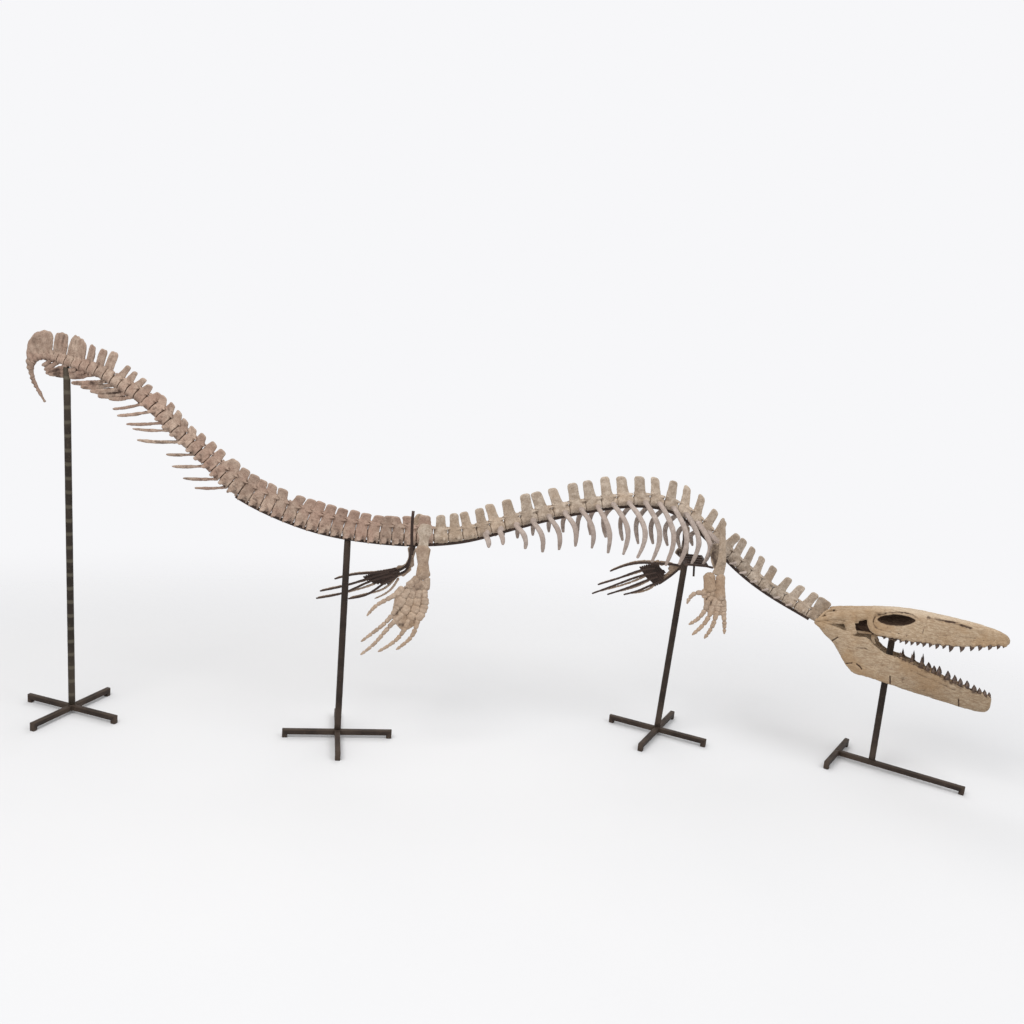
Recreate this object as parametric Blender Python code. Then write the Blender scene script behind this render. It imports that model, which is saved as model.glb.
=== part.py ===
# Mounted mosasaur skeleton: bones on a steel armature with four floor stands.
# Metres, +Z up, +X towards the head, +Y to the animal's left side.
# Every length is worked out from the sizes named here; the backbone is one
# smooth curve, and all bones are placed along it.
import bpy
import bmesh
import math
import numpy as np

for ob in list(bpy.data.objects):
    bpy.data.objects.remove(ob, do_unlink=True)

# ------------------------------------------------------------------ sizes
X0, Y0 = 0.0492, 5.3093          # centre of the floor plan in the layout frame
GAP = 0.0003                     # clearance where two pieces meet

# backbone seen from above (x, y) and from the side (x, z), tail tip to skull
PLAN = [(-2.40, 5.135), (-2.107, 5.098), (-1.45, 5.035), (-0.772, 5.081),
        (-0.40, 5.140), (0.0, 5.243), (0.30, 5.348), (0.60, 5.440),
        (0.884, 5.479), (1.20, 5.488), (1.45, 5.467), (1.64, 5.425)]
SIDE = [(-2.247, 1.548), (-2.304, 1.652), (-2.314, 1.702), (-2.290, 1.748),
        (-2.221, 1.763), (-2.137, 1.748), (-1.998, 1.719), (-1.865, 1.663),
        (-1.742, 1.600), (-1.619, 1.494), (-1.492, 1.388), (-1.346, 1.261),
        (-1.145, 1.156), (-0.908, 1.082), (-0.647, 1.049), (-0.409, 1.046),
        (-0.219, 1.068), (-0.052, 1.116), (0.238, 1.197), (0.479, 1.245),
        (0.643, 1.264), (0.764, 1.256), (0.855, 1.228), (0.928, 1.186),
        (1.085, 1.056), (1.246, 0.926), (1.407, 0.831), (1.562, 0.760),
        (1.642, 0.724)]

# vertebrae: (region, start, end, count, first length / last length)
REGIONS = [("tip", 0.000, 0.200, 6, 0.75), ("fan", 0.200, 0.340, 6, 1.00),
           ("end", 0.340, 0.750, 10, 0.85), ("mid", 0.750, 1.350, 12, 0.90),
           ("base", 1.350, 2.273, 16, 0.95), ("sacral", 2.273, 2.358, 1, 1.0),
           ("trunk", 2.358, 2.714, 5, 1.0), ("trunk", 2.714, 3.489, 9, 1.0),
           ("trunk", 3.489, 3.865, 5, 1.0), ("neck", 3.865, 4.596, 10, 1.0)]
# size of the bones along the backbone (distance from the tail tip, value);
# ARCH is the height of the solid arch over the body's half depth
CENTRUM_R = [(0.0, 0.004), (0.1, 0.008), (0.2, 0.014), (0.3, 0.020), (0.5, 0.025),
             (0.9, 0.028), (1.5, 0.030), (2.2, 0.030), (2.45, 0.026), (3.2, 0.024),
             (4.0, 0.023), (4.6, 0.021)]
ARCH = [(0.0, 1.35), (0.8, 1.35), (1.4, 1.95), (2.3, 1.95), (2.5, 1.55), (4.6, 1.45)]
SPINE_H = [(0.0, 0.010), (0.10, 0.020), (0.17, 0.038), (0.22, 0.070), (0.29, 0.106),
           (0.40, 0.122), (0.50, 0.108), (0.60, 0.108), (0.70, 0.092), (0.80, 0.070),
           (0.90, 0.085), (1.05, 0.070), (1.20, 0.092), (1.30, 0.106), (1.50, 0.102),
           (1.75, 0.110), (1.95, 0.108), (2.07, 0.096), (2.31, 0.112), (2.60, 0.119),
           (2.75, 0.127), (3.00, 0.127), (3.25, 0.137), (3.42, 0.122), (3.60, 0.126),
           (3.75, 0.120), (3.88, 0.106), (4.15, 0.117), (4.35, 0.106), (4.60, 0.110)]
# how far the top of a neural spine leans towards the tail
LEAN = [(0.0, 0.010), (0.20, 0.002), (0.34, 0.003), (0.75, 0.006), (0.80, 0.018), (1.30, 0.016),
        (1.40, 0.008), (2.20, 0.006), (2.32, 0.0), (2.60, 0.007), (3.20, 0.009), (3.42, 0.018),
        (3.62, 0.034), (3.78, 0.040), (3.90, 0.036), (4.02, 0.018), (4.20, 0.002), (4.60, -0.004)]
PROCESS = [(0.80, 0.032), (1.20, 0.050), (1.60, 0.066), (2.10, 0.075), (2.28, 0.060)]
# ribs of the trunk vertebrae, hip to shoulder: how far each hangs down
RIB_DROP = [0.0, 0.0, 0.0, 0.050, 0.055, 0.089, 0.121, 0.129, 0.131, 0.153,
            0.186, 0.206, 0.231, 0.253, 0.265, 0.244, 0.215, 0.180, 0.105]
RIB_WIDE = 0.62                  # half width of the rib cage / hanging depth
RIB_LIMIT = [(3.50, 0.125), (3.60, 0.118), (3.70, 0.095), (3.80, 0.078), (3.90, 0.070)]
# haemal arches: (place on the tail, length, sweep back in degrees)
CHEVRONS = [(0.282, 0.060, 35), (0.328, 0.105, 62), (0.475, 0.068, 66),
            (0.545, 0.115, 56), (0.625, 0.110, 50), (0.700, 0.120, 50),
            (0.800, 0.140, 50), (0.870, 0.170, 42), (0.920, 0.150, 40),
            (0.975, 0.135, 40), (1.025, 0.130, 42), (1.110, 0.110, 43),
            (1.200, 0.135, 44), (1.285, 0.130, 48), (1.370, 0.130, 50)]

BAR_W, BAR_H = 0.014, 0.010      # bar that carries the backbone
ROD_R = 0.015                    # upright rods
ARM_W, ARM_Z, ARM_R = 0.026, 0.0286, 0.270   # cross arms: width, axis, length
# stands: x, y, turn of the cross, x of the rod's top
STANDS = {"tail": (-2.109, 5.098, -19.0, -2.134), "hip": (-0.772, 5.081, 10.5, -0.769),
          "chest": (0.874, 5.476, -25.0, 0.914)}
HEAD_XY, HEAD_YAW, HEAD_ROLL, ROLL_Z = (1.968, 5.289), -24.0, 10.0, 0.68
HEAD_STAND_TURN = -31.0
HEAD_BAR, HEAD_CROSS, HEAD_ROD_BACK = 0.639, 0.194, 0.180


# ------------------------------------------------------------------ curve
def spline(t, y):
    """Natural cubic spline through (t, y), as second derivatives."""
    n = len(t)
    a = np.zeros((n, n))
    b = np.zeros(n)
    a[0, 0] = a[-1, -1] = 1.0
    for i in range(1, n - 1):
        h0, h1 = t[i] - t[i - 1], t[i + 1] - t[i]
        a[i, i - 1], a[i, i], a[i, i + 1] = h0, 2 * (h0 + h1), h1
        b[i] = 6 * ((y[i + 1] - y[i]) / h1 - (y[i] - y[i - 1]) / h0)
    return np.linalg.solve(a, b)


def spline_at(t, y, m, x):
    i = np.clip(np.searchsorted(t, x) - 1, 0, len(t) - 2)
    h = t[i + 1] - t[i]
    p, q = (t[i + 1] - x) / h, (x - t[i]) / h
    val = p * y[i] + q * y[i + 1] + ((p ** 3 - p) * m[i] + (q ** 3 - q) * m[i + 1]) * h * h / 6
    der = (y[i + 1] - y[i]) / h + ((3 * q * q - 1) * m[i + 1] - (3 * p * p - 1) * m[i]) * h / 6
    return val, der


def make_backbone():
    plan, side = np.array(PLAN), np.array(SIDE)
    mp = spline(plan[:, 0], plan[:, 1])
    t = np.concatenate([[0], np.cumsum(np.linalg.norm(np.diff(side, axis=0), axis=1))])
    mx, mz = spline(t, side[:, 0]), spline(t, side[:, 1])
    tt = np.linspace(0, t[-1], 4000)
    x = spline_at(t, side[:, 0], mx, tt)[0]
    z = spline_at(t, side[:, 1], mz, tt)[0]
    y, dy = spline_at(plan[:, 0], plan[:, 1], mp, x)
    p = np.stack([x, y, z], 1)
    s = np.concatenate([[0], np.cumsum(np.linalg.norm(np.diff(p, axis=0), axis=1))])
    tan = np.gradient(p, s, axis=0)
    left = np.stack([-dy, np.ones_like(dy), 0 * dy], 1)
    left /= np.linalg.norm(left, axis=1)[:, None]
    tan -= left * np.sum(tan * left, axis=1)[:, None]
    tan /= np.linalg.norm(tan, axis=1)[:, None]
    return s, p, tan, left, np.cross(tan, left)


S, P, TAN, LEFT, UP = make_backbone()


def frame(s):
    """Centre, forward, left and up directions of the backbone at s."""
    out = []
    for a in (P, TAN, LEFT, UP):
        out.append(np.array([np.interp(s, S, a[:, k]) for k in range(3)]))
    for k in (1, 2, 3):
        out[k] /= np.linalg.norm(out[k])
    return out


def table(knots, s):
    k = np.array(knots)
    return float(np.interp(s, k[:, 0], k[:, 1]))


def place(s, along, left, up):
    c, t, l, u = frame(s)
    return c + t * along + l * left + u * up


def vertebrae():
    """One entry for each vertebra: region, number in it, start and end."""
    out = []
    count = {}
    for name, s0, s1, n, ratio in REGIONS:
        w = np.linspace(ratio, 1.0, n) if n > 1 else np.ones(1)
        edge = s0 + (s1 - s0) * np.concatenate([[0], np.cumsum(w)]) / w.sum()
        first = count.get(name, 0)
        out += [(name, first + i, edge[i], edge[i + 1]) for i in range(n)]
        count[name] = first + n
    return out


VERTS = vertebrae()


# ------------------------------------------------------------------ meshes
def material(name, colour, rough, metal=0.0):
    m = bpy.data.materials.get(name)
    if m is None:
        m = bpy.data.materials.new(name)
        m.use_nodes = True
        b = m.node_tree.nodes["Principled BSDF"]
        b.inputs["Base Color"].default_value = (*colour, 1.0)
        b.inputs["Roughness"].default_value = rough
        b.inputs["Metallic"].default_value = metal
    return m


BONE = ("bone", (0.36, 0.27, 0.19), 0.75)
SKULL = ("skull_bone", (0.42, 0.30, 0.18), 0.7)
STEEL = ("rusted_steel", (0.07, 0.045, 0.032), 0.6, 0.5)


def new_object(name, bm, mat):
    bmesh.ops.recalc_face_normals(bm, faces=bm.faces[:])
    me = bpy.data.meshes.new(name)
    bm.to_mesh(me)
    bm.free()
    me.materials.append(material(*mat))
    ob = bpy.data.objects.new(name, me)
    bpy.context.scene.collection.objects.link(ob)
    return ob


def vert(bm, p):
    return bm.verts.new((p[0] - X0, p[1] - Y0, p[2]))


def loft(bm, rings, caps=True):
    """Skin of quads through rings of equally many points; returns the faces."""
    rv = [[vert(bm, p) for p in r] for r in rings]
    n = len(rv[0])
    rows = []
    for a, b in zip(rv[:-1], rv[1:]):
        rows.append([bm.faces.new((a[i], a[(i + 1) % n], b[(i + 1) % n], b[i])) for i in range(n)])
    if caps:
        bm.faces.new(list(reversed(rv[0])))
        bm.faces.new(rv[-1])
    return rows


def grow(bm, face, steps):
    """Draw a four-sided face out through the given sets of four points."""
    base = list(face.verts)
    bm.faces.remove(face)
    for step in steps:
        ring = [vert(bm, p) for p in step]
        for i in range(4):
            j = (i + 1) % 4
            bm.faces.new((base[i], base[j], ring[j], ring[i]))
        base = ring
    bm.faces.new(base)


def ring_frames(points, ref):
    """Section directions along a path, with one axis kept near ref."""
    pts = [np.array(p, float) for p in points]
    out = []
    for i, p in enumerate(pts):
        t = pts[min(i + 1, len(pts) - 1)] - pts[max(i - 1, 0)]
        t /= np.linalg.norm(t)
        a = ref - t * (ref @ t)
        a /= np.linalg.norm(a)
        out.append((p, a, np.cross(t, a)))
    return out


def tube(bm, points, radii, sides, ref=(0, 1, 0), flat=1.0, turn=0.5):
    """Closed tube; flat scales its section along the ref direction."""
    rings = []
    for (p, a, b), r in zip(ring_frames(points, np.array(ref, float)), radii):
        ring = []
        for k in range(sides):
            w = 2 * math.pi * (k + turn) / sides
            ring.append(p + a * (math.cos(w) * r * flat) + b * (math.sin(w) * r))
        rings.append(ring)
    loft(bm, rings)


def tube_object(name, mat, *args, **kw):
    bm = bmesh.new()
    tube(bm, *args, **kw)
    return new_object(name, bm, mat)


def fuse(base, others, operation="UNION"):
    """Join pieces that meet into one body."""
    for other in others:
        mod = base.modifiers.new("join", "BOOLEAN")
        mod.operation = operation
        mod.solver = "EXACT"
        mod.object = other
        deps = bpy.context.evaluated_depsgraph_get()
        mesh = bpy.data.meshes.new_from_object(base.evaluated_get(deps))
        base.modifiers.remove(mod)
        old = base.data
        base.data = mesh
        bpy.data.meshes.remove(old)
        bpy.data.objects.remove(other, do_unlink=True)
    return base


# ------------------------------------------------------------------ backbone
def section(s, along, side=0):
    """Outline of a vertebra body: whole (side 0) or its left or right half."""
    r = table(CENTRUM_R, s)
    top = table(ARCH, s) * r
    b = 0.006 if r > 0.012 else 0.5 * r
    half = [(0.5 * r, -r), (r, -0.35 * r), (r, 0.35 * r), (b, top)]
    if side == 0:
        pts = [(-x, z) for x, z in half[:1]] + half + [(-x, z) for x, z in reversed(half[1:])]
    else:
        pts = [(GAP, -r)] + half + [(GAP, top)]
        if side < 0:
            pts = [(-x, z) for x, z in reversed(pts)]
    return [place(s, along, x, z) for x, z in pts]


def blade(region):
    """Width of a neural spine at its foot and top over the vertebra length."""
    return {"tip": (0.7, 0.5), "fan": (0.8, 0.75), "end": (0.70, 0.56), "mid": (0.88, 0.66),
            "base": (0.94, 0.76), "sacral": (0.8, 0.62), "trunk": (0.72, 0.52), "neck": (0.62, 0.48)}[region]


def spine_steps(face, s, length, region, side):
    """Points of the neural spine drawn from the top face of a vertebra."""
    h = table(SPINE_H, s)
    foot, top = blade(region)
    lean = table(LEAN, s)
    c, t, l, u = frame(s)
    steps = []
    for f, w, thick in ((1.0, top, 0.0040),):
        pts = []
        for v in face.verts:
            q = np.array(v.co) + np.array([X0, Y0, 0.0]) - c
            a = math.copysign(0.5 * w * length, q @ t)
            x = q @ l
            if side == 0:
                x = math.copysign(thick, x)
            else:
                x = side * (GAP if abs(x) < 0.002 else thick)
            pts.append(c + t * (a - lean * f) + l * x + u * (h * f))
        steps.append(pts)
    return steps


def rib_steps(s, side, drop, length):
    """Points of a rib drawn from the side of its vertebra."""
    c, t, l, u = frame(s)
    fwd = np.array([t[0], t[1], 0.0])
    fwd /= np.linalg.norm(fwd)
    down = np.array([0, 0, -1.0])
    r = table(CENTRUM_R, s)
    wide = RIB_WIDE * drop * (0.85 if side > 0 else 1.0)
    wide = min(max(wide, 0.045), table(RIB_LIMIT, s))
    reach = drop * (0.86 if side > 0 else 1.0)
    g = 1.0 if side < 0 else -0.35
    path = [(0.66 * wide, 0.12, 0.014 * abs(g)), (wide, 0.52, 0.042 * g), (0.88 * wide, 1.0, 0.045 * g)]
    if drop < 0.10:
        path = [(0.6 * wide, 0.3, 0.006), (wide, 1.0, 0.014)]
    pts = [c + l * side * (r + a) + down * reach * d + fwd * g for a, d, g in path]
    steps = []
    for k, p in enumerate(pts):
        d = pts[min(k + 1, len(pts) - 1)] - pts[max(k - 1, 0)]
        d /= np.linalg.norm(d)
        w = fwd - d * (fwd @ d)
        w /= np.linalg.norm(w)
        n = np.cross(d, w)
        ww, nn = (0.0100, 0.0060) if k else (0.0120, 0.0070)
        if k == len(pts) - 1:
            ww, nn = 0.0070, 0.0040
        steps.append([(p, w * ww, n * nn)])
    return steps


def draw_rib(bm, face, s, side, drop, length):
    base = list(face.verts)
    cent = sum((np.array(v.co) for v in base), np.zeros(3)) / 4 + np.array([X0, Y0, 0.0])
    steps = rib_steps(s, side, drop, length)
    order = []
    c, t, l, u = frame(s)
    n = steps[0][0][2]
    for v in base:
        q = np.array(v.co) + np.array([X0, Y0, 0.0]) - cent
        order.append([math.copysign(1, q @ t), math.copysign(1, (q @ u) * (u @ n))])
    out = []
    for ((p, w, n),) in steps:
        out.append([p + w * a + n * b for a, b in order])
    grow(bm, face, out)


def draw_process(bm, face, s, side, reach, length):
    """Flat process standing out sideways from a tail vertebra."""
    c, t, l, u = frame(s)
    r = table(CENTRUM_R, s)
    out = []
    for f, w, h in ((1.0, 0.28, 0.0035),):
        pts = []
        for v in face.verts:
            q = np.array(v.co) + np.array([X0, Y0, 0.0]) - c
            pts.append(c + t * (math.copysign(w * length, q @ t) - 0.006) + l * side * (r + reach * f)
                       + u * (math.copysign(h, q @ u) - 0.006 * f))
        out.append(pts)
    grow(bm, face, out)


def draw_chevron(bm, face, s, length, sweep):
    c, t, l, u = frame(s)
    a = math.radians(sweep)
    r = table(CENTRUM_R, s)
    steps = []
    for f, w, h in ((0.34, 0.0075, 0.0070), (1.0, 0.0035, 0.0030)):
        b = a * (0.55 + 0.45 * f)
        d = -u * math.cos(b) - t * math.sin(b)
        e = np.cross(d, l)
        p = c - u * (r * 0.95) + d * length * f
        steps.append((p, e, h, w))
    out = []
    for p, e, h, w in steps:
        pts = []
        for v in face.verts:
            q = np.array(v.co) + np.array([X0, Y0, 0.0]) - c
            sign_t = math.copysign(1, q @ t)
            sign_e = sign_t if e @ t > 0 else -sign_t
            pts.append(p + e * sign_e * h + l * math.copysign(w, q @ l))
        out.append(pts)
    grow(bm, face, out)


def column(name, s0, s1, side=0, ribs=False):
    """A length of backbone with everything that grows from it."""
    bones = [v for v in VERTS if s0 - 1e-6 <= 0.5 * (v[2] + v[3]) < s1]
    bm = bmesh.new()
    rings, keys = [section(bones[0][2] + GAP, 0, side)], []
    for region, i, a, b in bones:
        foot = blade(region)[0]
        mid, half = 0.5 * (a + b), 0.5 * (b - a) * foot
        rings += [section(mid - half, 0, side), section(mid + half, 0, side)]
        keys += [None, (region, i, mid, b - a)]
    rings.append(section(bones[-1][3] - GAP, 0, side))
    keys.append(None)
    rows = loft(bm, rings)
    # face numbers round a section: bottom, sides and top
    if side == 0:
        bottom, right, top, left = 0, 6, 4, 2
    elif side > 0:
        bottom, left, top, right = 0, 2, 4, None
    else:
        bottom, right, top, left = 4, 2, 0, None
    plans = {}
    for s, length, sweep in CHEVRONS:
        if bones[0][2] <= s < bones[-1][3]:
            k = min(range(len(keys)), key=lambda j: abs(keys[j][2] - s) if keys[j] else 9)
            plans[k] = (length, sweep)
    for k, key in enumerate(keys):
        if key is None:
            continue
        region, i, mid, length = key
        if region != "tip" or i > 3:
            grow(bm, rows[k][top], spine_steps(rows[k][top], mid, length, region, side))
        if side == 0 and region in ("mid", "base", "sacral") and mid > 0.80:
            reach = table(PROCESS, mid)
            draw_process(bm, rows[k][left], mid, 1, reach, length)
            draw_process(bm, rows[k][right], mid, -1, reach, length)
        if side and region == "trunk" and RIB_DROP[i] > 0:
            draw_rib(bm, rows[k][left if side > 0 else right], mid, side, RIB_DROP[i], length)
        if k in plans:
            draw_chevron(bm, rows[k][bottom], mid, *plans[k])
    return new_object(name, bm, BONE)


column("tail_tip", 0.0, 0.340)
column("tail_end", 0.340, 1.350)
column("tail_base", 1.350, 2.273)
column("sacrum", 2.273, 2.358)
column("trunk_left", 2.358, 3.865, side=1)
column("trunk_right", 2.358, 3.865, side=-1)
column("neck", 3.865, 4.596)


# ------------------------------------------------------------------ skull
HX, HY = HEAD_XY
HC, HS = math.cos(math.radians(HEAD_YAW)), math.sin(math.radians(HEAD_YAW))


def head(u, v, z):
    """Skull point: u forward of the head rod, v to the left, z height.

    The head is rolled a little about its long axis, left side down."""
    r = math.radians(HEAD_ROLL)
    v, z = v * math.cos(r) + (z - ROLL_Z) * math.sin(r), ROLL_Z + (z - ROLL_Z) * math.cos(r) - v * math.sin(r)
    return np.array([HX + u * HC - v * HS, HY + u * HS + v * HC, z])


# along the skull: u, half width, roof height, tooth line height
SKULL_ROWS = [(-0.325, 0.060, 0.808, 0.725), (-0.250, 0.098, 0.832, 0.705),
              (-0.120, 0.112, 0.854, 0.688), (0.000, 0.108, 0.868, 0.697),
              (0.110, 0.088, 0.872, 0.713), (0.240, 0.068, 0.872, 0.730),
              (0.370, 0.052, 0.866, 0.749), (0.460, 0.039, 0.852, 0.763),
              (0.515, 0.024, 0.832, 0.775), (0.533, 0.010, 0.812, 0.786)]
# along a lower jaw: u, middle v, half thickness, top height, bottom height
JAW_ROWS = [(-0.368, 0.122, 0.008, 0.728, 0.706), (-0.290, 0.124, 0.014, 0.716, 0.642),
            (-0.225, 0.122, 0.017, 0.690, 0.562), (-0.165, 0.118, 0.018, 0.668, 0.494),
            (-0.030, 0.102, 0.018, 0.628, 0.473), (0.110, 0.078, 0.018, 0.606, 0.461),
            (0.240, 0.056, 0.017, 0.584, 0.448), (0.370, 0.037, 0.015, 0.553, 0.436),
            (0.450, 0.026, 0.012, 0.530, 0.432), (0.497, 0.018, 0.008, 0.518, 0.442)]
UPPER_TEETH, LOWER_TEETH = 13, 11


def row_at(rows, u):
    a = np.array(rows)
    return [float(np.interp(u, a[:, 0], a[:, k])) for k in range(1, a.shape[1])]


def skull():
    bm = bmesh.new()
    rings = []
    for u, w, top, bot in SKULL_ROWS:
        h = top - bot
        half = [(0.0, top), (0.50 * w, top - 0.05 * h), (0.80 * w, top - 0.28 * h),
                (w, bot + 0.30 * h), (0.97 * w, bot), (0.60 * w, bot + 0.10 * h)]
        pts = half + [(0.0, bot + 0.16 * h)] + [(-x, z) for x, z in reversed(half[1:])]
        rings.append([head(u, x, z) for x, z in pts])
    loft(bm, rings)
    ob = new_object("skull", bm, SKULL)
    extra = []
    for sgn in (1, -1):
        # squamosal wing and hanging quadrate
        extra.append(tube_object("wing", SKULL, [head(-0.16, sgn * 0.088, 0.806), head(-0.29, sgn * 0.118, 0.780),
                     head(-0.380, sgn * 0.132, 0.755)], [0.020, 0.021, 0.012], 5, ref=(0, 0, 1)))
        extra.append(tube_object("quadrate", SKULL, [head(-0.215, sgn * 0.108, 0.775), head(-0.222, sgn * 0.122, 0.745),
                     head(-0.232, sgn * 0.122, 0.713)], [0.022, 0.016, 0.014], 5, ref=(0, 1, 0)))
    fuse(ob, extra)
    cuts = []
    for sgn in (1, -1):
        # orbit, temporal opening and nostril, sunk into the side
        for u0, u1, z0, z1, depth in ((-0.075, 0.090, 0.768, 0.826, 0.070),):
            rings = []
            for v in (depth, 0.20):
                ring = []
                for k in range(8):
                    w = 2 * math.pi * (k + 0.5) / 8
                    ring.append(head(0.5 * (u0 + u1) + 0.5 * (u1 - u0) * math.cos(w), sgn * v,
                                     0.5 * (z0 + z1) + 0.5 * (z1 - z0) * math.sin(w)))
                rings.append(ring)
            bm = bmesh.new()
            loft(bm, rings)
            cuts.append(new_object("cut", bm, SKULL))
    fuse(ob, cuts, "DIFFERENCE")
    teeth = []
    for sgn in (1, -1):
        for k in range(UPPER_TEETH):
            u = -0.040 + 0.555 * k / (UPPER_TEETH - 1)
            w, top, bot = row_at(SKULL_ROWS, u)
            size = 0.0125 if k < UPPER_TEETH - 2 else 0.0085
            long = 0.034 - 0.006 * abs(k - 8) / 8
            teeth.append(tube_object("tooth", SKULL, [head(u, sgn * 0.80 * w, bot + 0.014),
                         head(u - 0.007, sgn * 0.84 * w, bot - long)], [size, 0.0016], 3, ref=(-HS, HC, 0), flat=0.5))
    return fuse(ob, teeth)


def jaw(name, sgn):
    bm = bmesh.new()
    rings = []
    for u, v, t, top, bot in JAW_ROWS:
        h = top - bot
        pts = [(v + 0.5 * t, top), (v + t, bot + 0.62 * h), (v + 0.8 * t, bot + 0.2 * h), (v, bot),
               (v - 0.8 * t, bot + 0.25 * h), (v - 0.6 * t, top)]
        rings.append([head(u, sgn * x, z) for x, z in pts])
    if sgn < 0:
        rings = [list(reversed(r)) for r in rings]
    loft(bm, rings)
    ob = new_object(name, bm, SKULL)
    teeth = []
    for k in range(LOWER_TEETH):
        u = -0.005 + 0.490 * k / (LOWER_TEETH - 1)
        v, t, top, bot = row_at(JAW_ROWS, u)
        long = 0.042 - 0.015 * abs(k - 2) / 8
        teeth.append(tube_object("tooth", SKULL, [head(u, sgn * v, top - 0.014), head(u - 0.006, sgn * (v + 0.002), top + long)],
                     [0.0125, 0.0016], 3, ref=(-HS, HC, 0), flat=0.5))
    return fuse(ob, teeth)


skull()
jaw("jaw_left", 1)
jaw("jaw_right", -1)


# ------------------------------------------------------------------ limbs
class Limb:
    """Flat working plane of a limb: a runs to the tail, b runs down."""

    def __init__(self, root, back, flare):
        self.root = np.array(root)
        n = np.array([-back, 1.0, -flare])
        self.n = n / np.linalg.norm(n)
        e = np.array([-1.0, -back, 0.0])
        self.e1 = e / np.linalg.norm(e)
        f = np.cross(self.n, self.e1)
        self.e2 = -f if f[2] > 0 else f

    def at(self, a, b, off=0.0):
        return self.root + (self.e1 * a + self.e2 * b) / 1000.0 + self.n * off


def smooth_path(points, count):
    """Evenly spaced points on a smooth line through a few given ones."""
    pts = np.array(points, float)
    t = np.concatenate([[0], np.cumsum(np.linalg.norm(np.diff(pts, axis=0), axis=1))])
    tt = np.linspace(0, t[-1], count)
    if len(pts) == 2:
        return [pts[0] + (pts[1] - pts[0]) * x / t[-1] for x in tt]
    return list(np.stack([spline_at(t, pts[:, k], spline(t, pts[:, k]), tt)[0] for k in range(pts.shape[1])], 1))


def digit(limb, points, joints, r0, r1, off=0.0, flat=0.8):
    """A finger: a tapering tube that swells at each of its joints."""
    path = smooth_path([limb.at(a, b, off) for a, b in points], 2 * joints + 1)
    radii = []
    for k in range(2 * joints + 1):
        r = r0 + (r1 - r0) * k / (2 * joints)
        radii.append(r * (1.0 if k % 2 == 0 else 0.66))
    return tube_object("digit", BONE, path, radii, 4, ref=limb.n, flat=flat)


def limb_object(name, limb, long_bones, slab, digits, r0=0.0110, r1=0.0065, backed=False, joints=2):
    """A paddle: its long bones, its wrist or ankle and its five digits.

    Where a steel frame backs it, every piece lies on one side of the plane."""
    parts = []
    for pts, radii, flat in long_bones:
        off = max(radii) * flat + 0.0002 if backed else 0.0
        parts.append(tube_object("bone", BONE, [limb.at(a, b, off) for a, b in pts], radii, 6, ref=limb.n, flat=flat))
    pts, radii = slab
    off = max(radii) * 0.28 + 0.0002 if backed else 0.0
    parts.append(tube_object("wrist", BONE, [limb.at(a, b, off) for a, b in pts], radii, 6, ref=limb.n, flat=0.28))
    for k, d in enumerate(digits):
        off = r0 * 0.8 + 0.0004 if backed else 0.0
        parts.append(digit(limb, d, joints, r0, r1, off + 0.0001 * k))
    base = parts[0]
    base.name = name
    base.data.name = name
    return fuse(base, parts[1:])


HIND_R = Limb((-0.406, 5.022, 1.030), 0.10, 0.22)
HIND_L = Limb((-0.483, 5.247, 0.962), -0.25, -0.25)
FORE_R = Limb((1.017, 5.332, 0.942), 0.05, 0.15)
FORE_L = Limb((0.928, 5.612, 0.912), -0.30, -0.20)

limb_object("hind_paddle_right", HIND_R,
            [([(0, 4), (-4, 66), (-10, 148)], [0.030, 0.020, 0.031], 0.6),
             ([(-26, 140), (-32, 172), (-24, 214)], [0.017, 0.013, 0.020], 0.6),
             ([(16, 138), (40, 168), (62, 206)], [0.018, 0.014, 0.024], 0.6)],
            ([(40, 186), (52, 232), (48, 300), (30, 366)], [0.052, 0.086, 0.080, 0.040]),
            [[(112, 232), (158, 261), (203, 292), (244, 344)], [(99, 286), (142, 355), (199, 411), (264, 466)],
             [(72, 320), (139, 393), (200, 472), (262, 528)], [(42, 346), (89, 438), (134, 478), (181, 509)],
             [(2, 346), (24, 424), (59, 464), (97, 495)]], r0=0.0140, r1=0.0075)
limb_object("hind_paddle_left", HIND_L,
            [([(0, 4), (6, 60), (14, 112)], [0.024, 0.014, 0.024], 0.6),
             ([(22, 104), (48, 118), (76, 132)], [0.015, 0.010, 0.016], 0.6),
             ([(12, 116), (28, 142), (58, 164)], [0.015, 0.010, 0.016], 0.6)],
            ([(66, 122), (84, 150), (88, 184)], [0.022, 0.034, 0.022]),
            [[(84, 132), (175, 165), (302, 196), (419, 243)], [(92, 148), (241, 222), (506, 330)],
             [(92, 164), (233, 256), (530, 378)], [(84, 176), (154, 260), (248, 307), (348, 348)],
             [(74, 186), (120, 262), (210, 330)]], r0=0.0075, r1=0.0045, backed=True, joints=1)
limb_object("fore_paddle_right", FORE_R,
            [([(-4, 6), (-6, 40), (-10, 82)], [0.030, 0.022, 0.034], 0.5),
             ([(14, 74), (16, 96), (8, 124)], [0.018, 0.013, 0.020], 0.5),
             ([(-52, 70), (-66, 100), (-70, 136)], [0.018, 0.013, 0.020], 0.5)],
            ([(-28, 98), (-38, 140), (-56, 196)], [0.044, 0.048, 0.034]),
            [[(4, 102), (57, 101), (90, 134), (98, 163)], [(-8, 132), (0, 168), (26, 221), (82, 265)],
             [(-32, 158), (-24, 202), (11, 266), (60, 317)], [(-56, 184), (-48, 241), (-27, 294), (-4, 331)],
             [(-78, 168), (-92, 227), (-88, 306)]], r0=0.0125, r1=0.0070)
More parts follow.
